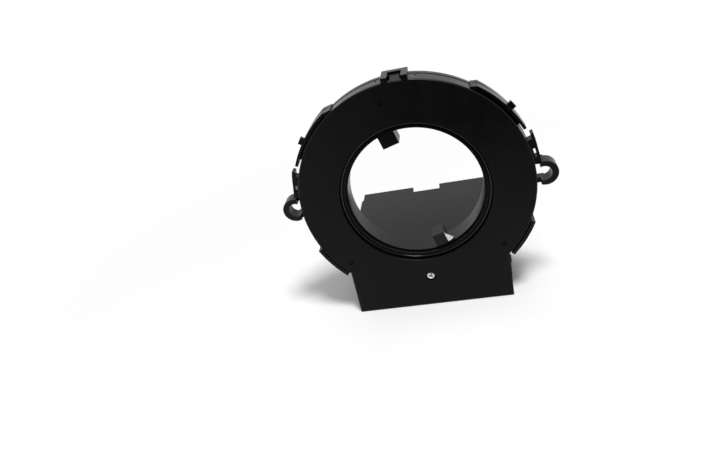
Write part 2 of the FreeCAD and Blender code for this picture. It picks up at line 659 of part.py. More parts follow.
def make_rear_housing():
    """Rear shell: ring, rim, hub, ears and catches, in one moulding with the electronics box."""
    rim = keyhole(RIM_R, BLOCK_HALF, BLOCK_BOTTOM, RIM_FRONT, RIM_BACK)
    rear = keyhole(REAR_R, BLOCK_HALF, BLOCK_BOTTOM, RIM_BACK, RING_DEPTH)
    lip_half = BLOCK_HALF - WALL - LOOSE
    lip_low = BLOCK_BOTTOM + WALL + LOOSE
    lip_front = COVER_DEPTH - LIP_REACH
    lip = keyhole(LIP_R, lip_half, lip_low, lip_front, RIM_BACK)
    room = keyhole(LIP_INNER_R, lip_half - LIP_WALL, lip_low + LIP_WALL, lip_front, REAR_WALL_FRONT)
    shell = fused([rim, rear, lip]).cut(room)
    hub = disc(HUB_R, HUB_FRONT, RING_DEPTH)
    solids = [shell, hub, make_box(), make_catch(), screw_hole(BOSS_R, GEAR_FRONT, RING_DEPTH)]
    solids += [make_band_flange(RIGHT_ROOT_ANGLE), mirrored(make_band_flange(LEFT_ROOT_ANGLE))]
    solids += both_sides(make_guide()) + both_sides(make_ear()) + both_sides(make_side_catch())
    for place in (LEFT_PLACE, RIGHT_PLACE):
        solids += gear_stops(place, STOP_HALF, HUB_FRONT, RING_DEPTH)
    for x, z in stake_places():
        solids.append(disc(STAKE_PAD_R, BOARD_BACK, RING_DEPTH, x, z))
        solids.append(disc(STAKE_R, BOARD_FRONT - STAKE_HEAD_HEIGHT, RING_DEPTH, x, z))
        solids.append(disc(STAKE_HEAD_R, BOARD_FRONT - STAKE_HEAD_HEIGHT, BOARD_FRONT, x, z))
    gusset = prism([V(GUSSET_X, RING_DEPTH - WALL / 2, BOX_TOP - WALL / 2),
                    V(GUSSET_X, RING_DEPTH + GUSSET_REACH, BOX_TOP - WALL / 2),
                    V(GUSSET_X, RING_DEPTH - WALL / 2, BOX_TOP + GUSSET_REACH)], V(WALL, 0, 0))
    solids += both_sides(gusset)
    housing = fused(solids)
    link_window = block(-LINK_WINDOW_HALF, LINK_WINDOW_HALF, REAR_WALL_FRONT, RING_DEPTH,
                        LINK_Z - LINK_BLOCK_HEIGHT, LINK_Z + LINK_BLOCK_HEIGHT)
    screw_bore = screw_hole(SCREW_R + PRESS_GAP, GEAR_FRONT, RING_DEPTH - WALL / 2)
    return housing.cut(Part.makeCompound([disc(HUB_BORE_R, 0, RING_DEPTH), screw_bore, link_window]))


def make_box_lid():
    """Flat lid under the box, held by four snap arms."""
    lid = block(-BOX_HALF, BOX_HALF, RING_DEPTH + LOOSE, BOX_BACK, BLOCK_BOTTOM, LID_TOP)
    hood_half = BOX_HALF - HOOD_INSET
    lid = lid.fuse(block(-hood_half, hood_half, BOX_BACK - WALL, HOOD_BACK, BLOCK_BOTTOM, LID_TOP))
    panel = block(-BOX_HALF + LID_PANEL_EDGE, BOX_HALF - LID_PANEL_EDGE, RING_DEPTH + LOOSE + LID_PANEL_EDGE,
                  HOOD_BACK - LID_PANEL_EDGE, BLOCK_BOTTOM, BLOCK_BOTTOM + LID_PANEL_DEPTH)
    arms = []
    outside = BOX_HALF - WALL - LOOSE
    for start in LID_SNAP_Y:
        y0 = RING_DEPTH + start - LID_SNAP_WIDTH / 2
        top = LID_TOP + LID_SNAP_HEIGHT
        heel = top - LID_SNAP_HEEL
        side = [V(outside - LIP_WALL, y0, LID_TOP - WALL / 2), V(outside, y0, LID_TOP - WALL / 2),
                V(outside, y0, heel), V(outside + LID_SNAP_NIB, y0, heel + LID_SNAP_SLOPE),
                V(outside, y0, top), V(outside - LIP_WALL, y0, top)]
        arms += both_sides(prism(side, V(0, LID_SNAP_WIDTH, 0)))
    return fused([lid.cut(panel)] + arms)


def make_cover_screw():
    """Pan-head screw with a cross recess, through the cover into the housing's boss."""
    head_back = SCREW_POCKET
    head_front = head_back - SCREW_HEAD_HEIGHT
    head = screw_hole(SCREW_HEAD_R, head_front, head_back)
    head = head.makeChamfer(SCREW_HEAD_BEVEL, edges_at(head, head_front))
    arms = [block(-CROSS_LENGTH / 2, CROSS_LENGTH / 2, head_front, head_front + CROSS_DEPTH,
                  SCREW_Z - CROSS_WIDTH / 2, SCREW_Z + CROSS_WIDTH / 2),
            block(-CROSS_WIDTH / 2, CROSS_WIDTH / 2, head_front, head_front + CROSS_DEPTH,
                  SCREW_Z - CROSS_LENGTH / 2, SCREW_Z + CROSS_LENGTH / 2)]
    shank = screw_hole(SCREW_R, head_back, head_back + SCREW_LENGTH)
    return head.fuse(shank).cut(arms[0].fuse(arms[1]))


def link_pin_profile(x):
    """One right-angle pin of the link between the boards."""
    half = PIN / 2
    bend = MAIN_BOARD_FRONT + LINK_BEND
    tip = BOARD_FRONT - LINK_TIP
    side = [V(x - half, tip, LINK_Z + half), V(x - half, bend, LINK_Z + half),
            V(x - half, bend, BOARD_LOW - PIN), V(x - half, bend - PIN, BOARD_LOW - PIN),
            V(x - half, bend - PIN, LINK_Z - half), V(x - half, tip, LINK_Z - half)]
    return prism(side, V(PIN, 0, 0))


def connector_pin(x):
    """One pin of the connector: straight in the socket, then bent down to the main board."""
    half = PIN / 2
    level = (SOCKET_TOP + SOCKET_LOW) / 2
    down = HEADER_FRONT - HEADER_FLANGE - PIN_TAIL
    side = [V(x - half, SOCKET_FLOOR + PIN_REACH, level + half), V(x - half, down, level + half),
            V(x - half, down, BOARD_LOW - PIN), V(x - half, down + PIN, BOARD_LOW - PIN),
            V(x - half, down + PIN, level - half), V(x - half, SOCKET_FLOOR + PIN_REACH, level - half)]
    return prism(side, V(PIN, 0, 0))


def make_link_pins():
    return Part.makeCompound([link_pin_profile(x) for x in pin_row(LINK_PINS, LINK_PITCH)])


def make_connector_pins():
    return Part.makeCompound([connector_pin(x) for x in pin_row(CONNECTOR_PINS, CONNECTOR_PITCH)])


def make_link_header(pins):
    half = LINK_PITCH * LINK_PINS / 2
    strip = block(-half, half, BOARD_BACK, BOARD_BACK + LINK_BLOCK_LENGTH,
                  LINK_Z - LINK_BLOCK_HEIGHT / 2, LINK_Z + LINK_BLOCK_HEIGHT / 2)
    return strip.cut(pins)


def make_connector_header(pins):
    """Insulator that closes the socket from inside, with a flange against its end."""
    half = SOCKET_HALF - PRESS_GAP
    plug = block(-half, half, HEADER_FRONT - HEADER_FLANGE / 2, SOCKET_FLOOR,
                 SOCKET_LOW + PRESS_GAP, SOCKET_TOP - PRESS_GAP)
    reach = SOCKET_HALF + SOCKET_WALL
    flange = block(-reach, reach, HEADER_FRONT - HEADER_FLANGE, HEADER_FRONT,
                   SOCKET_LOW - SOCKET_WALL, SOCKET_TOP + SOCKET_WALL)
    return plug.fuse(flange).removeSplitter().cut(pins)


def make_sensor_board(pins):
    """Board behind the measuring gears. The link's pins fill their soldered holes."""
    board = sensor_board_outline(BOARD_FRONT, BOARD_BACK)
    holes = [screw_hole(BOSS_R + RUN, BOARD_FRONT, BOARD_BACK)]
    holes += [disc(STAKE_R + PRESS_GAP, BOARD_FRONT, BOARD_BACK, x, z) for x, z in stake_places()]
    for place in (LEFT_PLACE, RIGHT_PLACE):
        holes += gear_stops(place, STOP_HALF + RUN, BOARD_FRONT, BOARD_BACK)
    return board.cut(Part.makeCompound(holes)).cut(pins)


def make_main_board(pins):
    """Board in the electronics box. Both rows of pins fill their soldered holes."""
    board = block(-BOARD_HALF, BOARD_HALF, MAIN_BOARD_FRONT, MAIN_BOARD_BACK, BOARD_LOW, BOARD_TOP)
    holes = [upright(BOARD_SCREW_R + LOOSE, BOARD_LOW, BOARD_TOP, x, y) for x, y in pillar_places()]
    return board.cut(Part.makeCompound(holes)).cut(pins)


def make_board_screws():
    screws = []
    for x, y in pillar_places():
        head = upright(SCREW_HEAD_R, BOARD_LOW - SCREW_HEAD_HEIGHT, BOARD_LOW, x, y)
        shank = upright(BOARD_SCREW_R, BOARD_LOW, BOARD_TOP + BOARD_SCREW_LENGTH - RUN, x, y)
        screws.append(head.fuse(shank))
    return Part.makeCompound(screws)


def leads_beside(half_width, count, pitch, top):
    """Flat leads that stand out from the two long sides of a package."""
    leads = []
    for y in pin_row(count, pitch):
        for x0 in (-half_width - LEAD_REACH, half_width):
            leads.append(block(x0, x0 + LEAD_REACH, y - LEAD_WIDTH / 2, y + LEAD_WIDTH / 2, 0, top))
    return leads


def flat_chip(half_width, half_length, height, leads, pitch):
    """Moulded package with leads along its two long sides, lying on the plane Z = 0."""
    body = block(-half_width, half_width, -half_length, half_length, 0, height)
    body = body.makeChamfer(CHIP_BEVEL, [e for e in body.Edges if e.BoundBox.ZMin > height - 1e-4])
    return Part.makeCompound([body] + leads_beside(half_width, leads, pitch, height * LEAD_LEVEL))


def make_angle_chips():
    """Two angle chips, each on the axis of a measuring gear and facing its magnet."""
    chips = []
    for x, z in (LEFT_PLACE, RIGHT_PLACE):
        chip = flat_chip(CHIP_HALF_WIDTH, CHIP_HALF_LENGTH, CHIP_HEIGHT, CHIP_LEADS, CHIP_PITCH)
        chip.rotate(V(0, 0, 0), V(1, 0, 0), 90)
        chip.translate(V(x, BOARD_FRONT, z))
        chips.append(chip)
    return Part.makeCompound(chips)


def on_main_board(shape, across, along):
    """Sets a part on the main board. Both places are shares of the board's half width and length."""
    shape.translate(V(across * BOARD_HALF, MAIN_BOARD_FRONT + along * MAIN_BOARD_LENGTH, BOARD_TOP))
    return shape


def make_microcontroller():
    """Square package with leads on all four sides."""
    half = CONTROLLER_HALF
    package = flat_chip(half, half, CONTROLLER_HEIGHT, CONTROLLER_LEADS, CHIP_PITCH)
    level = CONTROLLER_HEIGHT * LEAD_LEVEL
    others = Part.makeCompound(leads_beside(half, CONTROLLER_LEADS, CHIP_PITCH, level))
    others.rotate(V(0, 0, 0), V(0, 0, 1), 90)
    return on_main_board(Part.makeCompound([package, others]), *CONTROLLER_PLACE)


def make_buffer_capacitor():
    """Can on a square foot."""
    foot = block(-CAN_R, CAN_R, -CAN_R, CAN_R, 0, CAN_FOOT)
    can = upright(CAN_R, CAN_FOOT, CAN_HEIGHT, 0, 0)
    return on_main_board(Part.makeCompound([can, foot]), *CAN_PLACE)


def small_part(size):
    """Square-edged part of the given half width, half length and height, on the plane Z = 0."""
    half_x, half_y, height = size
    return block(-half_x, half_x, -half_y, half_y, 0, height)


def chip_row(count, start, step, size):
    """Row of like small parts on the main board, as one compound."""
    places = [(start[0] + k * step[0], start[1] + k * step[1]) for k in range(count)]
    return Part.makeCompound([on_main_board(small_part(size), x, y) for x, y in places])


def make_filter_capacitors():
    """Two ceramic capacitors beside each angle chip."""
    chips = []
    for x, z in (LEFT_PLACE, RIGHT_PLACE):
        for side in (-1, 1):
            near = x - math.copysign(FILTER_OFFSET, x)
            centre = z + side * FILTER_HALF_STEP
            chips.append(block(near - CERAMIC[0], near + CERAMIC[0], BOARD_FRONT - CERAMIC[2], BOARD_FRONT,
                               centre - CERAMIC[1], centre + CERAMIC[1]))
    return Part.makeCompound(chips)


def write(name, shape):
    shape.exportStep("parts/" + name + ".step")


os.makedirs("parts", exist_ok=True)
link_pins = make_link_pins()
connector_pins = make_connector_pins()
write("front_cover", make_front_cover())
write("rear_housing", make_rear_housing())
write("box_lid", make_box_lid())
write("cover_screw", make_cover_screw())
write("rotor_ring", make_rotor())
write("measuring_gear_left", make_measuring_gear(LEFT_TEETH, LEFT_PLACE))
write("measuring_gear_right", make_measuring_gear(RIGHT_TEETH, RIGHT_PLACE))
write("magnet_left", make_magnet(LEFT_PLACE))
write("magnet_right", make_magnet(RIGHT_PLACE))
write("sensor_board", make_sensor_board(link_pins))
write("angle_chips", make_angle_chips())
write("filter_capacitors", make_filter_capacitors())
write("link_header", make_link_header(link_pins))
write("link_pins", link_pins)
write("main_board", make_main_board(Part.makeCompound([link_pins, connector_pins])))
write("board_screws", make_board_screws())
write("connector_header", make_connector_header(connector_pins))
write("connector_pins", connector_pins)
write("microcontroller", make_microcontroller())
transceiver = flat_chip(*TRANSCEIVER, TRANSCEIVER_LEADS, CHIP_PITCH)
write("bus_transceiver", on_main_board(transceiver, *TRANSCEIVER_PLACE))
regulator = flat_chip(*REGULATOR, REGULATOR_LEADS, REGULATOR_PITCH)
write("voltage_regulator", on_main_board(regulator, *REGULATOR_PLACE))
write("resonator", on_main_board(small_part(RESONATOR), *RESONATOR_PLACE))
write("buffer_capacitor", make_buffer_capacitor())
write("chip_resistors", chip_row(5, (0.1, 0.17), (0.08, 0.0), RESISTOR))
write("ceramic_capacitors", chip_row(4, (0.08, 0.34), (0.0, 0.073), CERAMIC))
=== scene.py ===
import math

import bmesh
import bpy
from mathutils import Matrix, Quaternion, Vector


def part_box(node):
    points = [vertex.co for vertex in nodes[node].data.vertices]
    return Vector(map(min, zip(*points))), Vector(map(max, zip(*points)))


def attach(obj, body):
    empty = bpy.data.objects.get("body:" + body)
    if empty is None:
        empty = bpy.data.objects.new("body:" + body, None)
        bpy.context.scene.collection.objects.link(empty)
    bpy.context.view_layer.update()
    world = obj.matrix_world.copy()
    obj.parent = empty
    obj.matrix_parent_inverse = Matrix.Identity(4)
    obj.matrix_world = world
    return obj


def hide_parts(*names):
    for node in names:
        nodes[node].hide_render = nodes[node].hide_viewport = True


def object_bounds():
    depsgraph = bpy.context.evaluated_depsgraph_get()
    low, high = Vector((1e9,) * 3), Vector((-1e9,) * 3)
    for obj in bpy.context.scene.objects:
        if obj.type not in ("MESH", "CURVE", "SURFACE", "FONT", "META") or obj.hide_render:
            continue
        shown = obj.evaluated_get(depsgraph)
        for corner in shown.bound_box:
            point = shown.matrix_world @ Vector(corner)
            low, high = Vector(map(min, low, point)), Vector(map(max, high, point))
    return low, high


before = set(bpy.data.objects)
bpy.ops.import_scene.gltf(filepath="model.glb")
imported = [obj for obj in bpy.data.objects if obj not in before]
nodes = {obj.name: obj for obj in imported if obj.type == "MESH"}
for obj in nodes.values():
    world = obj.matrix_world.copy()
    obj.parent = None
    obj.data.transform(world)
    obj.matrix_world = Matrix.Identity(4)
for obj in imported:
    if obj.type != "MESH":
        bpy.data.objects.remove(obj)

MM = 0.001
cad_box = [list(corner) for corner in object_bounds()]


# Camera. It stands a little to the right of the shaft's axis, well above it, and is rolled so that the
# sensor leans to the left, as in the photograph.
CAMERA_PLACE = Vector((21.67, -207.49, 104.94)) * MM
CAMERA_SIGHT = Vector((-0.18812, 0.85981, -0.4747))
CAMERA_ROLL = math.radians(-13.99)
FOCAL_LENGTH = 29.917
SENSOR_WIDTH = 36.0

lens = bpy.data.cameras.new("camera")
lens.lens = FOCAL_LENGTH
lens.sensor_width = SENSOR_WIDTH
lens.clip_start = 0.01
camera = bpy.data.objects.new("camera", lens)
bpy.context.scene.collection.objects.link(camera)
camera.location = CAMERA_PLACE
camera.rotation_mode = "QUATERNION"
camera.rotation_quaternion = CAMERA_SIGHT.to_track_quat("-Z", "Y") @ Quaternion((0, 0, 1), CAMERA_ROLL)
bpy.context.scene.camera = camera


# Table and light. A smooth white table carries the sensor in a white room, under a large soft lamp and a
# smaller one at the right. A dark flag in front, which only reflections show, shades the cover's upper part.
class Socket:
    """A node's output. Arithmetic on it adds Math nodes to the same tree."""

    def __init__(self, graph, output):
        self.graph = graph
        self.output = output

    def math(self, operation, first, second=0.0):
        return self.graph.node("ShaderNodeMath", {"operation": operation}, {0: first, 1: second})

    def __add__(self, other):
        return self.math("ADD", self, other)

    def __radd__(self, other):
        return self.math("ADD", other, self)

    def __sub__(self, other):
        return self.math("SUBTRACT", self, other)

    def __rsub__(self, other):
        return self.math("SUBTRACT", other, self)

    def __mul__(self, other):
        return self.math("MULTIPLY", self, other)

    def __truediv__(self, other):
        return self.math("DIVIDE", self, other)

    def __pow__(self, other):
        return self.math("POWER", self, other)

    def __gt__(self, other):
        return self.math("GREATER_THAN", self, other)

    def __lt__(self, other):
        return self.math("LESS_THAN", self, other)

    def __abs__(self):
        return self.math("ABSOLUTE", self)

    def maximum(self, other):
        return self.math("MAXIMUM", self, other)

    def floor(self):
        return self.math("FLOOR", self)

    def fraction(self):
        return self.math("FRACT", self)


class Graph:
    """A node tree that is being filled."""

    def __init__(self, tree):
        self.tree = tree

    def node(self, kind, settings=None, sockets=None, output=0):
        made = self.tree.nodes.new(kind)
        for name, value in (settings or {}).items():
            setattr(made, name, value)
        for key, value in (sockets or {}).items():
            target = made.inputs[key]
            if isinstance(value, Socket):
                self.tree.links.new(value.output, target)
            elif isinstance(value, tuple) and len(value) == 3 and target.type == "RGBA":
                target.default_value = (*value, 1)
            else:
                target.default_value = value
        return Socket(self, made.outputs[output]) if made.outputs else None

    def mix(self, factor, first, second):
        """Colour that goes from first to second."""
        return self.node("ShaderNodeMix", {"data_type": "RGBA"}, {0: factor, 6: first, 7: second}, 2)

    def place(self):
        return self.node("ShaderNodeTexCoord", output="Object")

    def facing(self):
        """Direction in which the surface faces, on the piece itself."""
        return self.node("ShaderNodeTexCoord", output="Normal")

    def along(self, vector, axis):
        return self.node("ShaderNodeSeparateXYZ", sockets={0: vector}, output=axis)

    def vector(self, x, y, z):
        return self.node("ShaderNodeCombineXYZ", sockets={0: x, 1: y, 2: z})

    def noise(self, vector, scale, detail=2.0, roughness=0.5):
        return self.node("ShaderNodeTexNoise", sockets={"Vector": vector, "Scale": scale, "Detail": detail,
                                                        "Roughness": roughness})

    def levels(self, value, low, high, out_low=0.0, out_high=1.0):
        """Value stretched from low..high to the outputs and held there."""
        return self.node("ShaderNodeMapRange", sockets={0: value, 1: low, 2: high, 3: out_low, 4: out_high})

    def bump(self, height, distance, strength=1.0, normal=None):
        sockets = {"Height": height, "Distance": distance, "Strength": strength}
        if normal is not None:
            sockets["Normal"] = normal
        return self.node("ShaderNodeBump", sockets=sockets)

    def rounded(self, radius):
        """Surface direction with the edges softened, as the tool leaves them."""
        return self.node("ShaderNodeBevel", {"samples": 4}, {"Radius": radius})


def material(name):
    """New material and its empty graph."""
    made = bpy.data.materials.new(name)
    made.use_nodes = True
    made.node_tree.nodes.clear()
    return made, Graph(made.node_tree)


def principled(graph, **sockets):
    named = {key.replace("_", " "): value for key, value in sockets.items()}
    shader = graph.node("ShaderNodeBsdfPrincipled", sockets=named)
    graph.node("ShaderNodeOutputMaterial", sockets={"Surface": shader})


def seen_directly(graph):
    """1 for the camera and in reflections, 0 for the light that a surface throws on others."""
    camera_ray = graph.node("ShaderNodeLightPath", output="Is Camera Ray")
    return camera_ray + graph.node("ShaderNodeLightPath", output="Is Glossy Ray")


def add_mesh(name, mesh):
    piece = bpy.data.objects.new(name, mesh)
    bpy.context.scene.collection.objects.link(piece)
    return piece


def flat_panel(name, corners):
    mesh = bpy.data.meshes.new(name)
    mesh.from_pydata(corners, [], [(0, 1, 2, 3)])
    return add_mesh(name, mesh)


def soft_lamp(name, size, power, place):
    """Square lamp that looks at the sensor and doesn't show."""
    light = bpy.data.lights.new(name, "AREA")
    light.size = size
    light.energy = power
    lamp = bpy.data.objects.new(name, light)
    bpy.context.scene.collection.objects.link(lamp)
    lamp.location = place
    lamp.rotation_mode = "QUATERNION"
    lamp.rotation_quaternion = (-Vector(place)).to_track_quat("-Z", "Y")
    lamp.visible_camera = False


OVERHEAD_PLACE = (-0.15, 0.15, 0.95)
OVERHEAD_SIZE = 1.1
OVERHEAD_POWER = 3.0
RIGHT_PLACE = (0.18, -0.30, 0.92)
RIGHT_SIZE = 0.22
RIGHT_POWER = 9.0
TABLE_HALF = 3.0
TABLE_COLOUR = (0.86, 0.86, 0.86)
TABLE_SHADE = (0.845, 0.845, 0.85)
TABLE_GLOW = 0.03
TABLE_NEAR = 0.09
TABLE_FAR = 0.24
WHITE = (1.0, 1.0, 1.0)
ROOM_LIGHT = 0.26
FLAG_LEFT = -0.045
FLAG_RIGHT = 0.12
FLAG_Y = -0.125
FLAG_TOP = 0.30
FLAG_COLOUR = (0.01, 0.01, 0.01)

table = flat_panel("table", [(x, y, cad_box[0][2]) for x, y in (
    (-TABLE_HALF, -TABLE_HALF), (TABLE_HALF, -TABLE_HALF), (TABLE_HALF, TABLE_HALF), (-TABLE_HALF, TABLE_HALF))])
finish, g = material("white_table")
place = g.place()
x, y = g.along(place, "X"), g.along(place, "Y")
far = g.levels((x * x + y * y) ** 0.5, TABLE_NEAR, TABLE_FAR)
shown = seen_directly(g)
top = g.node("ShaderNodeBsdfDiffuse", sockets={"Color": g.mix(g.noise(place, 40.0, 3.0), TABLE_COLOUR, TABLE_SHADE)})
glow = g.node("ShaderNodeEmission", sockets={"Color": WHITE})
g.node("ShaderNodeOutputMaterial", sockets={"Surface": g.node("ShaderNodeMixShader", sockets={
    0: shown * (TABLE_GLOW + far * (1 - TABLE_GLOW)), 1: top, 2: glow})})
table.data.materials.append(finish)

flag = flat_panel("flag", [(FLAG_LEFT, FLAG_Y, cad_box[0][2]), (FLAG_RIGHT, FLAG_Y, cad_box[0][2]),
                           (FLAG_RIGHT, FLAG_Y, FLAG_TOP), (FLAG_LEFT, FLAG_Y, FLAG_TOP)])
finish, g = material("black_felt")
place = g.place()
g.node("ShaderNodeOutputMaterial", sockets={"Surface": g.node("ShaderNodeBsdfDiffuse", sockets={
    "Color": g.mix(g.noise(place, 400.0, 3.0), FLAG_COLOUR, tuple(2 * c for c in FLAG_COLOUR))})})
flag.data.materials.append(finish)
flag.visible_camera = flag.visible_diffuse = flag.visible_shadow = False

world = bpy.data.worlds.new("room")
world.use_nodes = True
world.node_tree.nodes.clear()
bpy.context.scene.world = world
g = Graph(world.node_tree)
shown = seen_directly(g)
room = g.node("ShaderNodeBackground", sockets={"Color": WHITE, "Strength": ROOM_LIGHT + shown * (1 - ROOM_LIGHT)})
g.node("ShaderNodeOutputWorld", sockets={"Surface": room})

soft_lamp("overhead_lamp", OVERHEAD_SIZE, OVERHEAD_POWER, OVERHEAD_PLACE)
soft_lamp("right_lamp", RIGHT_SIZE, RIGHT_POWER, RIGHT_PLACE)

bpy.context.scene.view_settings.view_transform = "Standard"


# Front cover. Plate, skirt, snap arms and latch strap are one black nylon moulding, with the fine dull
# texture of an etched mould, slight flow marks and edges rounded by the tool.
MOULDING_BLACK = (0.0011, 0.0011, 0.0013)
MOULDING_WORN = (0.0030, 0.0030, 0.0034)
COOL_GLOSS = (0.91, 0.91, 1.0, 1.0)
FRONT_FACING = -0.6
DRAWN_SMOOTH = 0.15
EDGE_ROUND = 0.16 * MM


def black_moulding(name, rough, gloss):
    """Black nylon. The etched front is duller than the drawn sides."""
    made, g = material(name)
    place = g.place()
    drawn = g.along(g.facing(), "Y") > FRONT_FACING
    flow = g.noise(place, 55.0, 3.0)
    cloud = g.noise(place, 240.0, 2.0)
    grain = g.noise(place, 5200.0, 2.0, 0.6)
    turned = g.node("ShaderNodeMapping", sockets={0: place, "Rotation": (0.3, 0.1, 0.7), "Scale": (1.0, 9.0, 1.0)})
    rubbed = g.levels(g.noise(turned, 300.0, 4.0, 0.7), 0.66, 0.74)
    tone = g.levels(flow * 0.6 + cloud * 0.4, 0.35, 0.65)
    principled(g, Base_Color=g.mix(tone * 0.7 + rubbed * 0.3, MOULDING_BLACK, MOULDING_WORN),
               Roughness=rough + (tone - 0.5) * 0.08 - rubbed * 0.05 - drawn * DRAWN_SMOOTH,
               Specular_IOR_Level=gloss, Specular_Tint=COOL_GLOSS,
               Normal=g.bump(grain, 0.012 * MM, 0.4, g.bump(flow, 0.25 * MM, 0.25, g.rounded(EDGE_ROUND))))
    return made


nodes["front_cover"].material_slots[0].material = black_moulding("black_cover", 0.42, 0.12)


# Cover screw. Zinc-plated pan-head screw with a cross recess, cold-headed and thread-rolled. It is driven
# through the cover into the boss of the housing.
class Recipe:
    """A Geometry Nodes tree that works on a piece's own mesh, with named inputs for its sizes."""

    def __init__(self, name, sizes):
        self.tree = bpy.data.node_groups.new(name, "GeometryNodeTree")
        self.tree.interface.new_socket("Geometry", in_out="INPUT", socket_type="NodeSocketGeometry")
        self.tree.interface.new_socket("Geometry", in_out="OUTPUT", socket_type="NodeSocketGeometry")
        self.keys = {}
        for size, kind in sizes.items():
            socket = self.tree.interface.new_socket(size, in_out="INPUT", socket_type="NodeSocket" + kind)
            self.keys[size] = socket.identifier
        self.graph = Graph(self.tree)
        self.source = self.tree.nodes.new("NodeGroupInput")

    def __getitem__(self, size):
        return Socket(self.graph, self.source.outputs[size])

    def close(self, geometry):
        """Ends the tree: instances become mesh, and the finish is set."""
        whole = self.graph.node("GeometryNodeRealizeInstances", sockets={"Geometry": geometry})
        painted = self.graph.node("GeometryNodeSetMaterial", sockets={"Geometry": whole, "Material": self["Finish"]})
        self.graph.node("NodeGroupOutput", sockets={0: painted})

    def run(self, mesh, sizes):
        """Plain mesh that the tree makes from the given one."""
        seed = add_mesh("seed", mesh)
        modifier = seed.modifiers.new("recipe", "NODES")
        modifier.node_group = self.tree
        for size, value in sizes.items():
            modifier[self.keys[size]] = value
        return evaluated(seed)


def evaluated(seed):
    """The mesh of an object after its modifiers. The object itself goes."""
    view = bpy.context.evaluated_depsgraph_get()
    made = bpy.data.meshes.new_from_object(seed.evaluated_get(view), depsgraph=view)
    bpy.data.objects.remove(seed)
    return made


def closed_mesh(name, points, faces):
    """Mesh with its faces turned outwards."""
    shape = bmesh.new()
    placed = [shape.verts.new(point) for point in points]
    for face in faces:
        shape.faces.new([placed[k] for k in face])
    bmesh.ops.recalc_face_normals(shape, faces=shape.faces)
    mesh = bpy.data.meshes.new(name)
    shape.to_mesh(mesh)
    shape.free()
    return mesh


def turned(name, profile, segments=48):
    """Turned solid about Z. The profile runs as (radius, height) from pole to pole."""
    inner = profile[1:-1]
    points = [(0, 0, profile[0][1])]
    for radius, height in inner:
        for k in range(segments):
            angle = 2 * math.pi * k / segments
            points.append((radius * math.cos(angle), radius * math.sin(angle), height))
    points.append((0, 0, profile[-1][1]))
    last = len(points) - 1
    faces = []
    for k in range(segments):
        after = (k + 1) % segments
        faces.append((0, 1 + k, 1 + after))
        for ring in range(len(inner) - 1):
            start = 1 + ring * segments
            faces.append((start + k, start + after, start + segments + after, start + segments + k))
        start = last - segments
        faces.append((start + k, start + after, last))
    return closed_mesh(name, points, faces)


def cut_out(mesh, cutter):
    """The first mesh without what the second one covers."""
    tool = add_mesh("cutter", cutter)
    seed = add_mesh("blank", mesh)
    modifier = seed.modifiers.new("cut", "BOOLEAN")
    modifier.operation = "DIFFERENCE"
    modifier.object = tool
    made = evaluated(seed)
    bpy.data.objects.remove(tool)
    return made


def smooth_by_angle(mesh, angle=35):
    """Shades gentle edges smooth and keeps the sharper ones."""
    shape = bmesh.new()
    shape.from_mesh(mesh)
    for face in shape.faces:
        face.smooth = True
    for edge in shape.edges:
        edge.smooth = len(edge.link_faces) == 2 and edge.calc_face_angle(0) < math.radians(angle)
    shape.to_mesh(mesh)
    shape.free()
    return mesh


def set_in_place(name, mesh, matrix, body, slot, *replaced):
    """Adds a finished mesh to the sensor, on a body, in the place of the given CAD nodes."""
    mesh.transform(matrix)
    piece = add_mesh(name, smooth_by_angle(mesh))
    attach(piece, body)
    if replaced:
        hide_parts(*replaced)
    return piece


ZINC_BRIGHT = (0.74, 0.74, 0.72)
ZINC_DULL = (0.52, 0.52, 0.51)
ZINC_RECESS_SHADE = (0.03, 0.03, 0.028)
HEAD_R = 1.82 * MM
HEAD_HEIGHT = 1.1 * MM
RECESS_HALF = 1.0 * MM
RECESS_WIDTH = 0.48 * MM
RECESS_DEPTH = 0.9 * MM
RECESS_TAPER = 0.5
THREAD_PITCH = 0.8 * MM
THREAD_HEIGHT = 0.2 * MM
COVER_SHANK_R = 1.0 * MM
COVER_TURN = math.radians(20)

zinc, g = material("zinc_plate")
place = g.place()
cloud = g.noise(place, 900.0, 3.0)
spots = g.levels(g.noise(place, 2600.0, 2.0), 0.60, 0.68)
# The floor and walls of the cross recess, marked by the depth attribute, are painted nearly black: painted shade in
# the recess, where the plate is also rougher.
recess_shade = g.node("ShaderNodeAttribute", {"attribute_name": "depth"}, output="Fac")
principled(g, Base_Color=g.mix(recess_shade, g.mix(cloud * 0.6 + spots * 0.4, ZINC_BRIGHT, ZINC_DULL), ZINC_RECESS_SHADE),
           Metallic=1.0, Roughness=0.26 + cloud * 0.18 + spots * 0.15 + recess_shade * 0.3,
           Normal=g.bump(cloud, 0.02 * MM, 0.3))

thread = Recipe("rolled_thread", {"Radius": "Float", "Pitch": "Float", "Length": "Float", "Height": "Float",
                                  "Start": "Vector", "Finish": "Material"})
g = thread.graph
core_r = thread["Radius"] - thread["Height"]
helix = g.node("GeometryNodeCurveSpiral", sockets={
    "Resolution": 20, "Rotations": thread["Length"] / thread["Pitch"],
    "Start Radius": core_r, "End Radius": core_r, "Height": thread["Length"]})
ridge = g.node("GeometryNodeCurvePrimitiveCircle", {"mode": "RADIUS"},
               {"Resolution": 3, "Radius": thread["Height"]})
wound = g.node("GeometryNodeCurveToMesh", sockets={"Curve": helix, "Profile Curve": ridge, "Fill Caps": True})
wound = g.node("GeometryNodeTransform", sockets={"Geometry": wound, "Translation": thread["Start"]})
whole = g.node("GeometryNodeJoinGeometry")
for geometry in (thread["Geometry"], wound):
    g.tree.links.new(geometry.output, whole.output.node.inputs[0])
thread.close(whole)


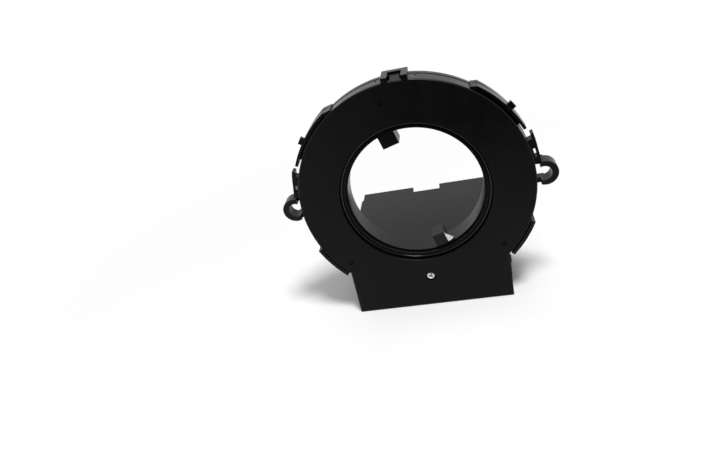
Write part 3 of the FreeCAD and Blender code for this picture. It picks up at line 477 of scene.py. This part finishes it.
def pan_head_screw(radius, length):
    """Screw along Z, with its head's front at 0 and its point at the length given."""
    head = [(0, 0), (0.55 * HEAD_R, 0), (0.82 * HEAD_R, 0.10 * HEAD_HEIGHT), (0.95 * HEAD_R, 0.30 * HEAD_HEIGHT),
            (HEAD_R, 0.58 * HEAD_HEIGHT), (HEAD_R, 0.92 * HEAD_HEIGHT), (0.96 * HEAD_R, HEAD_HEIGHT)]
    core = radius - THREAD_HEIGHT
    shank = [(core, HEAD_HEIGHT), (core, length - radius), (0.35 * radius, length - 0.1 * radius), (0, length)]
    blank = turned("screw_blank", head + shank)
    half, reach = RECESS_WIDTH / 2, RECESS_HALF
    cross = [(reach, -half), (reach, half), (half, half), (half, reach), (-half, reach), (-half, half),
             (-reach, half), (-reach, -half), (-half, -half), (-half, -reach), (half, -reach), (half, -half)]
    count = len(cross)
    points = [(1.15 * x, 1.15 * y, -0.3 * RECESS_DEPTH) for x, y in cross]
    points += [(RECESS_TAPER * x, RECESS_TAPER * y, RECESS_DEPTH) for x, y in cross]
    faces = [tuple(range(count)), tuple(range(count, 2 * count))]
    faces += [(k, (k + 1) % count, (k + 1) % count + count, k + count) for k in range(count)]
    socketed = cut_out(blank, closed_mesh("recess", points, faces))
    # Marks the floor and walls of the recess, which get painted shade.
    depth = socketed.attributes.new("depth", "FLOAT", "POINT")
    for point, value in zip(socketed.vertices, depth.data):
        inside = math.hypot(point.co.x, point.co.y) < RECESS_HALF
        value.value = 1.0 if inside and 0.1 * RECESS_DEPTH < point.co.z < 1.1 * RECESS_DEPTH else 0.0
    run = length - HEAD_HEIGHT - 1.6 * radius
    return thread.run(socketed, {"Radius": radius, "Pitch": THREAD_PITCH, "Length": run, "Height": THREAD_HEIGHT,
                                 "Start": (0, 0, HEAD_HEIGHT + 0.4 * radius), "Finish": zinc})


low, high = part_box("cover_screw")
middle = (low + high) / 2
screw_turn = Matrix.Rotation(math.radians(-90), 4, "X") @ Matrix.Rotation(COVER_TURN, 4, "Z")
set_in_place("cover_screw_bright", pan_head_screw(COVER_SHANK_R, high.y - low.y),
             Matrix.Translation((middle.x, low.y, middle.z)) @ screw_turn, "housing", "bright_steel", "cover_screw")


# Rear housing. The shell, the ears, the catches and the electronics box are one moulding of the same black
# nylon, with a slightly stronger gloss than the cover. It snaps into the cover's skirt.
nodes["rear_housing"].material_slots[0].material = black_moulding("black_housing", 0.42, 0.16)


# Box lid. A flat moulded plate of the same nylon that closes the electronics box from below. It snaps
# into the box's walls.
nodes["box_lid"].material_slots[0].material = black_moulding("black_lid", 0.42, 0.14)


# Rotor. A glossy black acetal ring that the steering shaft turns, moulded with fine rings round its wall and
# held between cover and housing. A polished bead runs round its front. A thin white patch beside the lower
# lug is painted highlight: white colour that stands for the bright patch there.
ROTOR_BLACK = (0.0010, 0.0010, 0.0012)
ROTOR_GREY = (0.0026, 0.0026, 0.0028)
ROTOR_BORE = 26.9 * MM
ROTOR_COAT = 0.28
WEB_LESS = 0.20
Z_TO_FRONT = Matrix.Rotation(math.radians(90), 4, "X")
# Colours and outline of the painted highlight beside the lower lug.
HIGHLIGHT_WHITE = (0.74, 0.74, 0.71)
HIGHLIGHT_DIM = (0.42, 0.42, 0.40)
MARK_TURN = math.radians(285.5)
MARK_FRONT = 3.3
MARK_THICKNESS = 0.05
MARK_CORNERS = ((21.75, 2.60), (22.6, 3.3), (24.0, 4.7), (24.9, 5.3), (25.6, 4.4), (26.0, 2.75), (25.2, 2.58))

finish, g = material("rotor_black")
place = g.place()
x, y, z = (g.along(place, axis) for axis in "XYZ")
rings = g.noise(g.vector(x * 40.0, y * 9000.0, z * 40.0), 1.0, 3.0)
cloud = g.noise(place, 120.0, 3.0)
web = ((x * x + z * z) > ROTOR_BORE ** 2) * (g.along(g.facing(), "Y") < FRONT_FACING)
principled(g, Base_Color=g.mix(cloud, ROTOR_BLACK, ROTOR_GREY),
           Roughness=0.20 + rings * 0.12 + cloud * 0.05, Specular_IOR_Level=0.05,
           Coat_Weight=ROTOR_COAT - web * WEB_LESS, Coat_Roughness=0.26,
           Normal=g.bump(rings, 0.01 * MM, 0.35, g.rounded(EDGE_ROUND)))
nodes["rotor_ring"].material_slots[0].material = finish

BEAD_RING_R = 29.1 * MM
BEAD_R = 0.30 * MM
BEAD_SUNK = 0.05 * MM
BEAD_CIRCLES = ((192, "Radius"), (16, "Section"))

polished, g = material("bead_black")
place = g.place()
cloud = g.noise(place, 300.0, 3.0)
principled(g, Base_Color=g.mix(cloud, ROTOR_BLACK, ROTOR_GREY), Roughness=0.3 + cloud * 0.1,
           Specular_IOR_Level=0.05, Coat_Weight=0.85 + cloud * 0.15, Coat_Roughness=0.16)
bead = Recipe("moulded_bead", {"Radius": "Float", "Section": "Float", "Finish": "Material"})
g = bead.graph
ring, section = (g.node("GeometryNodeCurvePrimitiveCircle", {"mode": "RADIUS"},
                        {"Resolution": steps, "Radius": bead[size]}) for steps, size in BEAD_CIRCLES)
bead.close(g.node("GeometryNodeCurveToMesh", sockets={"Curve": ring, "Profile Curve": section}))
mesh = bead.run(bpy.data.meshes.new("bead"), {"Radius": BEAD_RING_R, "Section": BEAD_R, "Finish": polished})
web_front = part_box("rotor_ring")[0].y
set_in_place("rotor_bead", mesh, Matrix.Translation((0, web_front + BEAD_SUNK, 0)) @ Z_TO_FRONT, "rotor",
             "rotor_black")


def lofted(name, outlines, heights):
    """Solid along Z through outlines of equal count, each at its own height."""
    count = len(outlines[0])
    points = [(x, y, z) for outline, z in zip(outlines, heights) for x, y in outline]
    faces = [tuple(range(count)), tuple(range(len(points) - count, len(points)))]
    for start in range(0, len(points) - count, count):
        faces += [(start + k, start + (k + 1) % count, start + count + (k + 1) % count, start + count + k)
                  for k in range(count)]
    return closed_mesh(name, points, faces)


# Painted highlight: a thin white patch by the lower lug, coloured white to stand for the bright patch there, dimmer
# in uneven spots.
finish, g = material("painted_highlight_finish")
place = g.place()
uneven = g.levels(g.noise(place, 2200.0, 3.0), 0.52, 0.66)
principled(g, Base_Color=g.mix(uneven, HIGHLIGHT_WHITE, HIGHLIGHT_DIM), Roughness=0.5 + uneven * 0.2,
           Normal=g.bump(g.noise(place, 1500.0), 0.03 * MM, 0.5))
spun = [(r * math.cos(MARK_TURN) - a * math.sin(MARK_TURN), r * math.sin(MARK_TURN) + a * math.cos(MARK_TURN))
        for r, a in MARK_CORNERS]
mark = lofted("paint", [spun, spun], [0, MARK_THICKNESS])
mark.materials.append(finish)
set_in_place("painted_highlight_patch", mark, Matrix.Scale(MM, 4) @ Matrix.Translation((0, MARK_FRONT, 0)) @ Z_TO_FRONT,
             "rotor", "rotor_black")


# Measuring gears. Two small natural-acetal gears of unlike tooth count, injection moulded, which run on
# posts of the cover in mesh with the rotor. A film of grease darkens the teeth.
ACETAL = (0.66, 0.64, 0.57)
ACETAL_SHADE = (0.52, 0.49, 0.41)
GREASE_R = 8.4 * MM
TEETH_R = 9.4 * MM

for name in ("measuring_gear_left", "measuring_gear_right"):
    low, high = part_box(name)
    middle = (low + high) / 2
    finish, g = material("acetal_" + name)
    place = g.place()
    x, z = g.along(place, "X") - middle.x, g.along(place, "Z") - middle.z
    radius = (x * x + z * z) ** 0.5
    grease = g.levels(radius, GREASE_R, TEETH_R) * g.levels(g.noise(place, 500.0, 4.0), 0.4, 0.6)
    cloud = g.noise(place, 180.0, 3.0)
    principled(g, Base_Color=g.mix(cloud * 0.4 + grease * 0.6, ACETAL, ACETAL_SHADE),
               Roughness=0.42 - grease * 0.24 + cloud * 0.06,
               Normal=g.bump(g.noise(place, 3000.0), 0.01 * MM, 0.4, g.rounded(0.1 * MM)))
    nodes[name].material_slots[0].material = finish


# Magnets. Round two-pole magnets of sintered ferrite, pressed to shape and ground. Each is pushed into the
# cup of its gear.
FERRITE = (0.045, 0.044, 0.046)
FERRITE_DUST = (0.11, 0.108, 0.105)

finish, g = material("ground_ferrite")
place = g.place()
grains = g.levels(g.noise(place, 5200.0, 3.0), 0.56, 0.66)
lines = g.noise(g.vector(g.along(place, "X") * 9000.0, g.along(place, "Y") * 60.0, g.along(place, "Z") * 300.0), 1.0)
principled(g, Base_Color=g.mix(grains, FERRITE, FERRITE_DUST), Metallic=0.35, Roughness=0.42 + lines * 0.2,
           Normal=g.bump(lines, 0.01 * MM, 0.4, g.rounded(0.12 * MM)))
for name in ("magnet_left", "magnet_right"):
    nodes[name].material_slots[0].material = finish


# Sensor board. Saddle-shaped glass-epoxy board behind the gears, with green solder mask over its tracks. It
# is staked to the housing.
MASK_GREEN = (0.008, 0.068, 0.030)
MASK_TRACK = (0.018, 0.125, 0.052)
EPOXY = (0.36, 0.33, 0.17)
TINNED = (0.66, 0.65, 0.61)
VIA_HOLE_SHADE = (0.01, 0.02, 0.01)
TRACK_PITCH = 1.27
TRACK_WIDTH = 0.32
TRACK_RUN = 7.0
ALONG_SHARE = 0.42
ACROSS_SHARE = 0.30
VIA_SHARE = 0.22
VIA_CELL = 3.2
VIA_R = 0.42
VIA_HOLE_R = 0.17


def tracks(g, across, along, share):
    """Mask of straight copper runs on a grid. Each line of the grid is broken into runs, some left out."""
    line, run = across / TRACK_PITCH, along / TRACK_RUN
    kept = g.node("ShaderNodeTexWhiteNoise", {"noise_dimensions": "2D"},
                  {"Vector": g.vector(line.floor(), (run + line.floor() * 0.37).floor(), 0.0)}) < share
    return (abs(line.fraction() - 0.5) < TRACK_WIDTH / TRACK_PITCH / 2) * kept


def circuit_board(name, first, second, normal):
    """Material of a board that lies along the first and second axes."""
    made, g = material(name)
    place = g.place()
    u, v = g.along(place, first) * 1000.0, g.along(place, second) * 1000.0
    copper = tracks(g, u, v, ALONG_SHARE).maximum(tracks(g, v, u, ACROSS_SHARE))
    cell_u, cell_v = u / VIA_CELL, v / VIA_CELL
    near_u, near_v = (cell_u.fraction() - 0.5) * VIA_CELL, (cell_v.fraction() - 0.5) * VIA_CELL
    away = (near_u * near_u + near_v * near_v) ** 0.5
    chosen = g.node("ShaderNodeTexWhiteNoise", {"noise_dimensions": "2D"},
                    {"Vector": g.vector(cell_u.floor(), cell_v.floor(), 0.0)}) < VIA_SHARE
    face = abs(g.along(g.facing(), normal)) > 0.5
    via = (away < VIA_R) * (away > VIA_HOLE_R) * chosen * face
    # The vias are not drilled: the middle of each is painted nearly black, painted shade for its hole.
    hole = (away < VIA_HOLE_R) * chosen * face
    weave = g.noise(g.vector(u * 3.0, v * 3.0, 0.0), 1.0, 2.0)
    masked = g.mix(weave * 0.15 + copper * 0.75, MASK_GREEN, MASK_TRACK)
    coloured = g.mix(hole, g.mix(via, g.mix(face, EPOXY, masked), TINNED), VIA_HOLE_SHADE)
    principled(g, Base_Color=coloured, Metallic=via * 0.9, Roughness=0.62 - face * 0.36 + via * 0.06,
               Normal=g.bump((copper + via - hole) * face + weave * 0.05, 0.03 * MM, 0.8))
    return made


nodes["sensor_board"].material_slots[0].material = circuit_board("green_board_front", "X", "Z", "Y")


# Angle chips. One magnetic angle chip faces each magnet: a moulded epoxy package with a dimple at pin 1 and
# gull-wing leads, soldered to the board's front.
PACKAGE_BLACK = (0.016, 0.016, 0.017)
PACKAGE_GREY = (0.034, 0.034, 0.035)
LEAD_THICKNESS = 0.16 * MM
LEAD_BEND = 0.10 * MM
PACKAGE_FOOT = 0.10 * MM
PACKAGE_DRAFT = 0.09 * MM
PACKAGE_CORNER = 0.12 * MM
DIMPLE_R = 0.35 * MM
DIMPLE_DEPTH = 0.12 * MM

epoxy, g = material("package_epoxy")
place = g.place()
grain = g.noise(place, 7000.0, 2.0)
cloud = g.noise(place, 600.0, 3.0)
principled(g, Base_Color=g.mix(cloud * 0.6 + grain * 0.3, PACKAGE_BLACK, PACKAGE_GREY), Roughness=0.5 + cloud * 0.1,
           Normal=g.bump(grain, 0.015 * MM, 0.6))

tin, g = material("tin_plate")
place = g.place()
cloud = g.noise(place, 1500.0, 3.0)
principled(g, Base_Color=g.mix(cloud, TINNED, tuple(0.7 * c for c in TINNED)), Metallic=1.0,
           Roughness=0.24 + cloud * 0.2, Normal=g.bump(cloud, 0.01 * MM, 0.4))

leads = Recipe("rows_of_leads", {"Width": "Float", "Thickness": "Float", "Bend": "Float", "Count": "Int",
                                 "Pitch": "Float", "Sides": "Int", "Finish": "Material"})
g = leads.graph
path = g.node("GeometryNodeFilletCurve", {"mode": "POLY"}, {
    "Curve": g.node("GeometryNodeMeshToCurve", sockets={"Mesh": leads["Geometry"]}), "Count": 3,
    "Radius": leads["Bend"], "Limit Radius": True})
section = g.node("GeometryNodeCurvePrimitiveQuadrilateral", sockets={0: leads["Thickness"], 1: leads["Width"]})
bar = g.node("GeometryNodeCurveToMesh", sockets={"Curve": path, "Profile Curve": section, "Fill Caps": True})
first = (leads["Count"] - 1.0) * leads["Pitch"] * -0.5
row = g.node("GeometryNodeMeshLine", {"mode": "OFFSET"}, {
    "Count": leads["Count"], "Start Location": g.vector(0.0, first, 0.0),
    "Offset": g.vector(0.0, leads["Pitch"], 0.0)})
row = g.node("GeometryNodeInstanceOnPoints", sockets={"Points": row, "Instance": bar})
corners = g.node("GeometryNodeMeshLine", {"mode": "OFFSET"}, {"Count": leads["Sides"], "Offset": (0.0, 0.0, 0.0)})
turn = g.node("GeometryNodeInputIndex") * (2 * math.pi) / leads["Sides"]
leads.close(g.node("GeometryNodeInstanceOnPoints", sockets={
    "Points": corners, "Instance": row, "Rotation": g.vector(0.0, 0.0, turn)}))


def lead_path(points):
    """Bare line in the plane Y = 0, through (x, z)."""
    mesh = bpy.data.meshes.new("path")
    mesh.from_pydata([(x, 0, z) for x, z in points], [(k, k + 1) for k in range(len(points) - 1)], [])
    return mesh


def rounded_outline(half_x, half_y, radius, steps=4):
    """Rectangle with round corners, as points round its middle."""
    points = []
    for corner, (sx, sy) in enumerate(((1, 1), (-1, 1), (-1, -1), (1, -1))):
        for k in range(steps + 1):
            angle = math.pi / 2 * (corner + k / steps)
            points.append((sx * (half_x - radius) + radius * math.cos(angle),
                           sy * (half_y - radius) + radius * math.sin(angle)))
    return points


def lead_frame(half, reach, level, width, count, pitch, sides):
    """Gull-wing leads of a package, standing on Z = 0."""
    foot = LEAD_THICKNESS / 2
    line = lead_path([(half - LEAD_BEND, level), (half + 0.35 * reach, level), (half + 0.55 * reach, foot),
                      (half + reach, foot)])
    return leads.run(line, {"Width": width, "Thickness": LEAD_THICKNESS, "Bend": LEAD_BEND, "Count": count,
                            "Pitch": pitch, "Sides": sides, "Finish": tin})


def moulded_package(half_x, half_y, height, level):
    """Package body that narrows from its parting line, with a dimple at pin 1."""
    narrow = [rounded_outline(half_x - d, half_y - d, PACKAGE_CORNER, 2)
              for d in (PACKAGE_DRAFT, 0, 0, PACKAGE_DRAFT, 2.4 * PACKAGE_DRAFT)]
    body = lofted("package", narrow, [PACKAGE_FOOT, level - LEAD_THICKNESS / 2, level + LEAD_THICKNESS / 2,
                                      height - PACKAGE_DRAFT, height])
    cutter = turned("dimple", [(0, height - DIMPLE_DEPTH), (DIMPLE_R, height - DIMPLE_DEPTH),
                               (1.1 * DIMPLE_R, height + DIMPLE_DEPTH), (0, height + DIMPLE_DEPTH)], 20)
    cutter.transform(Matrix.Translation((-half_x + 3 * DIMPLE_R, half_y - 3 * DIMPLE_R, 0)))
    body = cut_out(body, cutter)
    body.materials.clear()
    body.materials.append(epoxy)
    return body


def joined(meshes):
    """One mesh of several, in their own places."""
    whole = bmesh.new()
    for mesh in meshes:
        whole.from_mesh(mesh)
    made = bpy.data.meshes.new("joined")
    for finish in meshes[0].materials:
        made.materials.append(finish)
    whole.to_mesh(made)
    whole.free()
    return made


ANGLE_CHIP_HALF = (1.95 * MM, 2.45 * MM)
ANGLE_CHIP_HEIGHT = 1.0 * MM
ANGLE_CHIP_LEVEL = 0.42 * MM
NARROW_LEAD = 0.4 * MM
LEAD_REACH = 1.0 * MM
CHIP_PITCH = 1.27 * MM

low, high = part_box("sensor_board")
board_front = low.y
bodies, frames = [], []
for name in ("magnet_left", "magnet_right"):
    low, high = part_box(name)
    middle = (low + high) / 2
    standing = Matrix.Translation((middle.x, board_front, middle.z)) @ Z_TO_FRONT
    body = moulded_package(*ANGLE_CHIP_HALF, ANGLE_CHIP_HEIGHT, ANGLE_CHIP_LEVEL)
    wings = lead_frame(ANGLE_CHIP_HALF[0], LEAD_REACH, ANGLE_CHIP_LEVEL, NARROW_LEAD, 4, CHIP_PITCH, 2)
    for mesh, group in ((body, bodies), (wings, frames)):
        mesh.transform(standing)
        group.append(mesh)
set_in_place("angle_chip_bodies", joined(bodies), Matrix(), "housing", "chip_black", "angle_chips")
set_in_place("angle_chip_leads", joined(frames), Matrix(), "housing", "tinned_pin")


# Ceramic capacitors and resistors. Small blocks with tinned ends, cut from a fired sheet and reflow
# soldered: two capacitors beside each angle chip, and a row of each kind on the main board.
CERAMIC_TAN = (0.36, 0.25, 0.15)
CERAMIC_PALE = (0.47, 0.35, 0.23)
RESISTOR_BLACK = (0.022, 0.022, 0.024)
RESISTOR_SHINE = (0.05, 0.05, 0.052)
END_LENGTH = 0.30 * MM
END_PROUD = 0.02 * MM

small_parts = Recipe("row_of_parts", {"Count": "Int", "Start": "Vector", "Step": "Vector", "Finish": "Material"})
g = small_parts.graph
row = g.node("GeometryNodeMeshLine", {"mode": "OFFSET"}, {
    "Count": small_parts["Count"], "Start Location": small_parts["Start"], "Offset": small_parts["Step"]})
small_parts.close(g.node("GeometryNodeInstanceOnPoints",
                         sockets={"Points": row, "Instance": small_parts["Geometry"]}))


def fired(name, dark, pale, rough):
    """Fired ceramic or glaze, slightly cloudy."""
    made, g = material(name)
    place = g.place()
    cloud = g.noise(place, 1800.0, 3.0)
    principled(g, Base_Color=g.mix(cloud, dark, pale), Roughness=rough + cloud * 0.12,
               Normal=g.bump(g.noise(place, 6000.0), 0.01 * MM, 0.5))
    return made


def small_block(half_x, length, height):
    """Body of a small part, standing on Z = 0 and lying along Y."""
    outlines = [rounded_outline(half_x - d, length / 2 - END_LENGTH / 2, 0.05 * MM, 2)
                for d in (0.03 * MM, 0, 0, 0.03 * MM)]
    return lofted("block", outlines, [0.02 * MM, 0.06 * MM, height - 0.07 * MM, height - 0.02 * MM])


def tinned_ends(half_x, length, height):
    """The two metal caps of a small part."""
    caps = []
    for side in (-1, 1):
        outlines = [rounded_outline(half_x + END_PROUD - d, END_LENGTH / 2, 0.08 * MM, 3)
                    for d in (0, 0, 0.06 * MM)]
        cap = lofted("cap", outlines, [0, height - 0.04 * MM, height])
        cap.transform(Matrix.Translation((0, side * (length - END_LENGTH) / 2, 0)))
        caps.append(cap)
    return joined(caps)


def small_row(name, size, count, start, step, matrix, finish, slot, *replaced):
    """Row of like parts: their bodies, and their tinned ends as a second piece."""
    for part, shape, paint, named in (("", small_block, finish, slot), ("_ends", tinned_ends, tin, "tinned_pin")):
        mesh = small_parts.run(shape(*size), {"Count": count, "Start": start, "Step": step, "Finish": paint})
        set_in_place(name + part, mesh, matrix, "housing", named, *(replaced if part == "" else ()))


FILTER_SIZE = (0.6 * MM, 2.0 * MM, 0.8 * MM)
FILTER_STEP = 3.2 * MM
FILTER_PLACES = (("left", -11.75 * MM), ("right", 10.95 * MM))

tan_ceramic = fired("fired_ceramic", CERAMIC_TAN, CERAMIC_PALE, 0.38)
for side, place_x in FILTER_PLACES:
    low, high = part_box("magnet_" + side)
    standing = Matrix.Translation((place_x, board_front, (low.z + high.z) / 2)) @ Z_TO_FRONT
    small_row("filter_capacitors_" + side, FILTER_SIZE, 2, (0, -FILTER_STEP / 2, 0), (0, FILTER_STEP, 0), standing,
              tan_ceramic, "ceramic", *(("filter_capacitors",) if side == "left" else ()))


# Link between the boards. A black insulator strip of glass-filled nylon on the sensor board carries six
# square tinned pins, which bend down to the main board and are soldered in both.
HEADER_BLACK = (0.022, 0.022, 0.023)
HEADER_GREY = (0.045, 0.045, 0.046)
PIN = 0.64 * MM
PIN_BEND = 0.45 * MM
LINK_PINS = 6
LINK_PITCH = 2.54 * MM

header_black, g = material("glass_filled_black")
place = g.place()
fibres = g.noise(g.node("ShaderNodeMapping", sockets={0: place, "Rotation": (0.4, 0.2, 0.9),
                                                      "Scale": (400.0, 3000.0, 1500.0)}), 1.0, 3.0)
principled(g, Base_Color=g.mix(g.levels(fibres, 0.45, 0.7), HEADER_BLACK, HEADER_GREY),
           Roughness=0.46 + fibres * 0.1,
           Normal=g.bump(fibres, 0.02 * MM, 0.5, g.rounded(0.12 * MM)))
nodes["link_header"].material_slots[0].material = header_black


def pin_row(name, points, count, pitch, node):
    """Row of bent square pins across X. The line of one runs through (y, z)."""
    mesh = leads.run(lead_path(points), {"Width": PIN, "Thickness": PIN, "Bend": PIN_BEND, "Count": count,
                                         "Pitch": pitch, "Sides": 1, "Finish": tin})
    set_in_place(name, mesh, Matrix.Rotation(math.radians(90), 4, "Z"), "housing", "tinned_pin", node)


low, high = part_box("link_pins")
pin_row("link_pins_bright", [(low.y, high.z - PIN / 2), (high.y - PIN / 2, high.z - PIN / 2),
                             (high.y - PIN / 2, low.z)], LINK_PINS, LINK_PITCH, "link_pins")


# Main board. Glass-epoxy board in the electronics box, with green solder mask. Its parts are on top, and
# the solder of both rows of pins stands on its underside.
SOLDER_R = 0.95 * MM
SOLDER_HEIGHT = 0.62 * MM
CONNECTOR_PINS = 8
CONNECTOR_PITCH = 2.2 * MM

nodes["main_board"].material_slots[0].material = circuit_board("green_board_main", "X", "Y", "Z")
low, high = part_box("main_board")
board_low, board_top = low.z, high.z
link_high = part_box("link_pins")[1]
plug_low, plug_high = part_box("connector_pins")


def solder_row(name, count, pitch, y):
    """Row of solder cones round pins, under the main board."""
    cone = turned("solder", [(0, 0), (SOLDER_R, 0), (0.72 * SOLDER_R, 0.22 * SOLDER_HEIGHT),
                             (0.52 * SOLDER_R, 0.6 * SOLDER_HEIGHT), (0.45 * SOLDER_R, SOLDER_HEIGHT),
                             (0, SOLDER_HEIGHT)], 20)
    mesh = small_parts.run(cone, {"Count": count, "Start": (-(count - 1) * pitch / 2, 0, 0),
                                  "Step": (pitch, 0, 0), "Finish": tin})
    set_in_place(name, mesh, Matrix.Translation((0, y, board_low)) @ Matrix.Rotation(math.pi, 4, "X"),
                 "housing", "tinned_pin")


solder_row("link_solder", LINK_PINS, LINK_PITCH, link_high.y - PIN / 2)
solder_row("connector_solder", CONNECTOR_PINS, CONNECTOR_PITCH, plug_low.y + PIN / 2)


# Chips on the main board. The microcontroller has leads on four sides, the bus transceiver and the voltage
# regulator on two. Their epoxy packages are moulded round the lead frames.
CHIP_LEVEL = 0.62 * MM
REGULATOR_LEVEL = 0.90 * MM
REGULATOR_LEAD = 0.75 * MM
REGULATOR_PITCH = 2.3 * MM


def main_chip(name, half_x, half_y, height, level, width, count, pitch, sides):
    """Package and leads of a chip on the main board, in the middle of its CAD node."""
    low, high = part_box(name)
    on_board = Matrix.Translation(((low.x + high.x) / 2, (low.y + high.y) / 2, board_top))
    set_in_place(name + "_body", moulded_package(half_x, half_y, height, level), on_board, "housing",
                 "chip_black", name)
    set_in_place(name + "_leads", lead_frame(half_x, LEAD_REACH, level, width, count, pitch, sides), on_board,
                 "housing", "tinned_pin")


main_chip("microcontroller", 5.0 * MM, 5.0 * MM, 1.5 * MM, CHIP_LEVEL, NARROW_LEAD, 7, CHIP_PITCH, 4)
main_chip("bus_transceiver", 2.0 * MM, 2.5 * MM, 1.5 * MM, CHIP_LEVEL, NARROW_LEAD, 4, CHIP_PITCH, 2)
main_chip("voltage_regulator", 3.2 * MM, 3.3 * MM, 2.2 * MM, REGULATOR_LEVEL, REGULATOR_LEAD, 3, REGULATOR_PITCH, 2)


# Rows on the main board. Glazed chip resistors and bare ceramic capacitors, cut and fired like the filter
# capacitors above, and reflow soldered by their tinned ends.
RESISTOR_SIZE = (0.6 * MM, 2.0 * MM, 0.5 * MM)
RESISTORS = 5
CAPACITOR_SIZE = (0.6 * MM, 2.0 * MM, 0.8 * MM)
CAPACITORS = 4

glaze = fired("resistor_glaze", RESISTOR_BLACK, RESISTOR_SHINE, 0.24)
low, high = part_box("chip_resistors")
half_width = RESISTOR_SIZE[0]
small_row("resistor_row", RESISTOR_SIZE, RESISTORS, (low.x + half_width, (low.y + high.y) / 2, board_top),
          ((high.x - low.x - 2 * half_width) / (RESISTORS - 1), 0, 0), Matrix(), glaze, "chip_black",
          "chip_resistors")
low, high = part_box("ceramic_capacitors")
length = CAPACITOR_SIZE[1]
small_row("capacitor_row", CAPACITOR_SIZE, CAPACITORS, ((low.x + high.x) / 2, low.y + length / 2, board_top),
          (0, (high.y - low.y - length) / (CAPACITORS - 1), 0), Matrix(), tan_ceramic, "ceramic",
          "ceramic_capacitors")


# Resonator. The quartz of the microcontroller's clock, in a drawn steel can with rounded ends. The can is
# welded to its flange and lies on the main board.
FLANGE = 0.35 * MM
CAN_STEPS = ((0.0, 0.0), (0.25, 0.0), (0.32, 1.0), (3.0, 1.0), (3.35, 1.35), (3.6, 2.4))
STEEL = (0.60, 0.60, 0.585)
STEEL_DULL = (0.44, 0.44, 0.43)

finish, g = material("drawn_steel")
place = g.place()
drawn = g.noise(g.vector(g.along(place, "X") * 500.0, g.along(place, "Y") * 500.0, g.along(place, "Z") * 6000.0), 1.0)
cloud = g.noise(place, 500.0, 3.0)
principled(g, Base_Color=g.mix(cloud, STEEL, STEEL_DULL), Metallic=1.0, Roughness=0.22 + drawn * 0.16,
           Normal=g.bump(drawn, 0.01 * MM, 0.4))
low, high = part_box("resonator")
half_x, half_y = (high.x - low.x) / 2, (high.y - low.y) / 2
can = lofted("can", [rounded_outline(half_x - d * FLANGE, half_y - d * FLANGE, half_y - d * FLANGE - 0.02 * MM, 10)
                     for level, d in CAN_STEPS], [level * MM for level, d in CAN_STEPS])
can.materials.append(finish)
set_in_place("resonator_can", can, Matrix.Translation(((low.x + high.x) / 2, (low.y + high.y) / 2, board_top)),
             "housing", "bright_steel", "resonator")


# Buffer capacitor. A drawn aluminium can on a moulded foot. The can is beaded above the foot, and a dark
# segment on its top marks the negative side.
ALUMINIUM = (0.62, 0.63, 0.64)
ALUMINIUM_DULL = (0.50, 0.51, 0.52)
SEGMENT_BLACK = (0.02, 0.02, 0.022)
SEGMENT_EDGE = 1.7 * MM
CAN_R = 4.0 * MM
FOOT_HEIGHT = 0.8 * MM
FOOT_CORNER = 1.1 * MM

low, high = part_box("buffer_capacitor")
middle = (low + high) / 2
finish, g = material("drawn_aluminium")
place = g.place()
cloud = g.noise(place, 400.0, 3.0)
drawn = g.noise(g.vector(g.along(place, "X") * 200.0, g.along(place, "Y") * 200.0, g.along(place, "Z") * 5000.0), 1.0)
negative = (g.along(place, "Y") > middle.y + SEGMENT_EDGE) * (g.along(g.facing(), "Z") > 0.7)
principled(g, Base_Color=g.mix(negative, g.mix(cloud, ALUMINIUM, ALUMINIUM_DULL), SEGMENT_BLACK),
           Metallic=1 - negative, Roughness=0.24 + drawn * 0.14 + negative * 0.2,
           Normal=g.bump(drawn, 0.01 * MM, 0.4))
top = high.z - low.z
can = turned("can", [(0, FOOT_HEIGHT), (0.94 * CAN_R, FOOT_HEIGHT), (0.98 * CAN_R, 1.15 * MM),
                     (0.98 * CAN_R, 1.7 * MM), (0.90 * CAN_R, 2.0 * MM), (0.90 * CAN_R, 2.25 * MM),
                     (0.995 * CAN_R, 2.65 * MM), (0.995 * CAN_R, top - 0.7 * MM),
                     (0.96 * CAN_R, top - 0.22 * MM), (0.88 * CAN_R, top),
                     (0.84 * CAN_R, top), (0.81 * CAN_R, top - 0.12 * MM), (0, top - 0.12 * MM)], 64)
can.materials.append(finish)
on_board = Matrix.Translation((middle.x, middle.y, board_top))
set_in_place("capacitor_can", can, on_board, "housing", "can_aluminium", "buffer_capacitor")
half = (high.x - low.x) / 2
foot = lofted("foot", [rounded_outline(half - d, half - d, FOOT_CORNER, 2) for d in (0.08 * MM, 0, 0, 0.08 * MM)],
              [0, 0.08 * MM, FOOT_HEIGHT - 0.08 * MM, FOOT_HEIGHT])
foot.materials.append(header_black)
set_in_place("capacitor_foot", foot, on_board, "housing", "header_plastic")


# Connector. An insulator of glass-filled nylon closes the socket from inside. Eight square tinned pins run
# through it and down to the main board, and the plug goes over them.
nodes["connector_header"].material_slots[0].material = header_black
pin_row("connector_pins_bright", [(plug_high.y, plug_high.z - PIN / 2), (plug_low.y + PIN / 2, plug_high.z - PIN / 2),
                                  (plug_low.y + PIN / 2, plug_low.z)], CONNECTOR_PINS, CONNECTOR_PITCH,
        "connector_pins")


# Board screws. Two zinc-plated pan-head screws, made like the cover's, hold the main board to pillars of
# the box from below.
CAD_HEAD_R = 1.75 * MM
BOARD_SHANK_R = 0.85 * MM

low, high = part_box("board_screws")
screws = []
for x, y in ((low.x + CAD_HEAD_R, low.y + CAD_HEAD_R), (high.x - CAD_HEAD_R, high.y - CAD_HEAD_R)):
    screw = pan_head_screw(BOARD_SHANK_R, high.z - low.z)
    screw.transform(Matrix.Translation((x, y, low.z)))
    screws.append(screw)
set_in_place("board_screws_bright", joined(screws), Matrix(), "housing", "bright_steel", "board_screws")
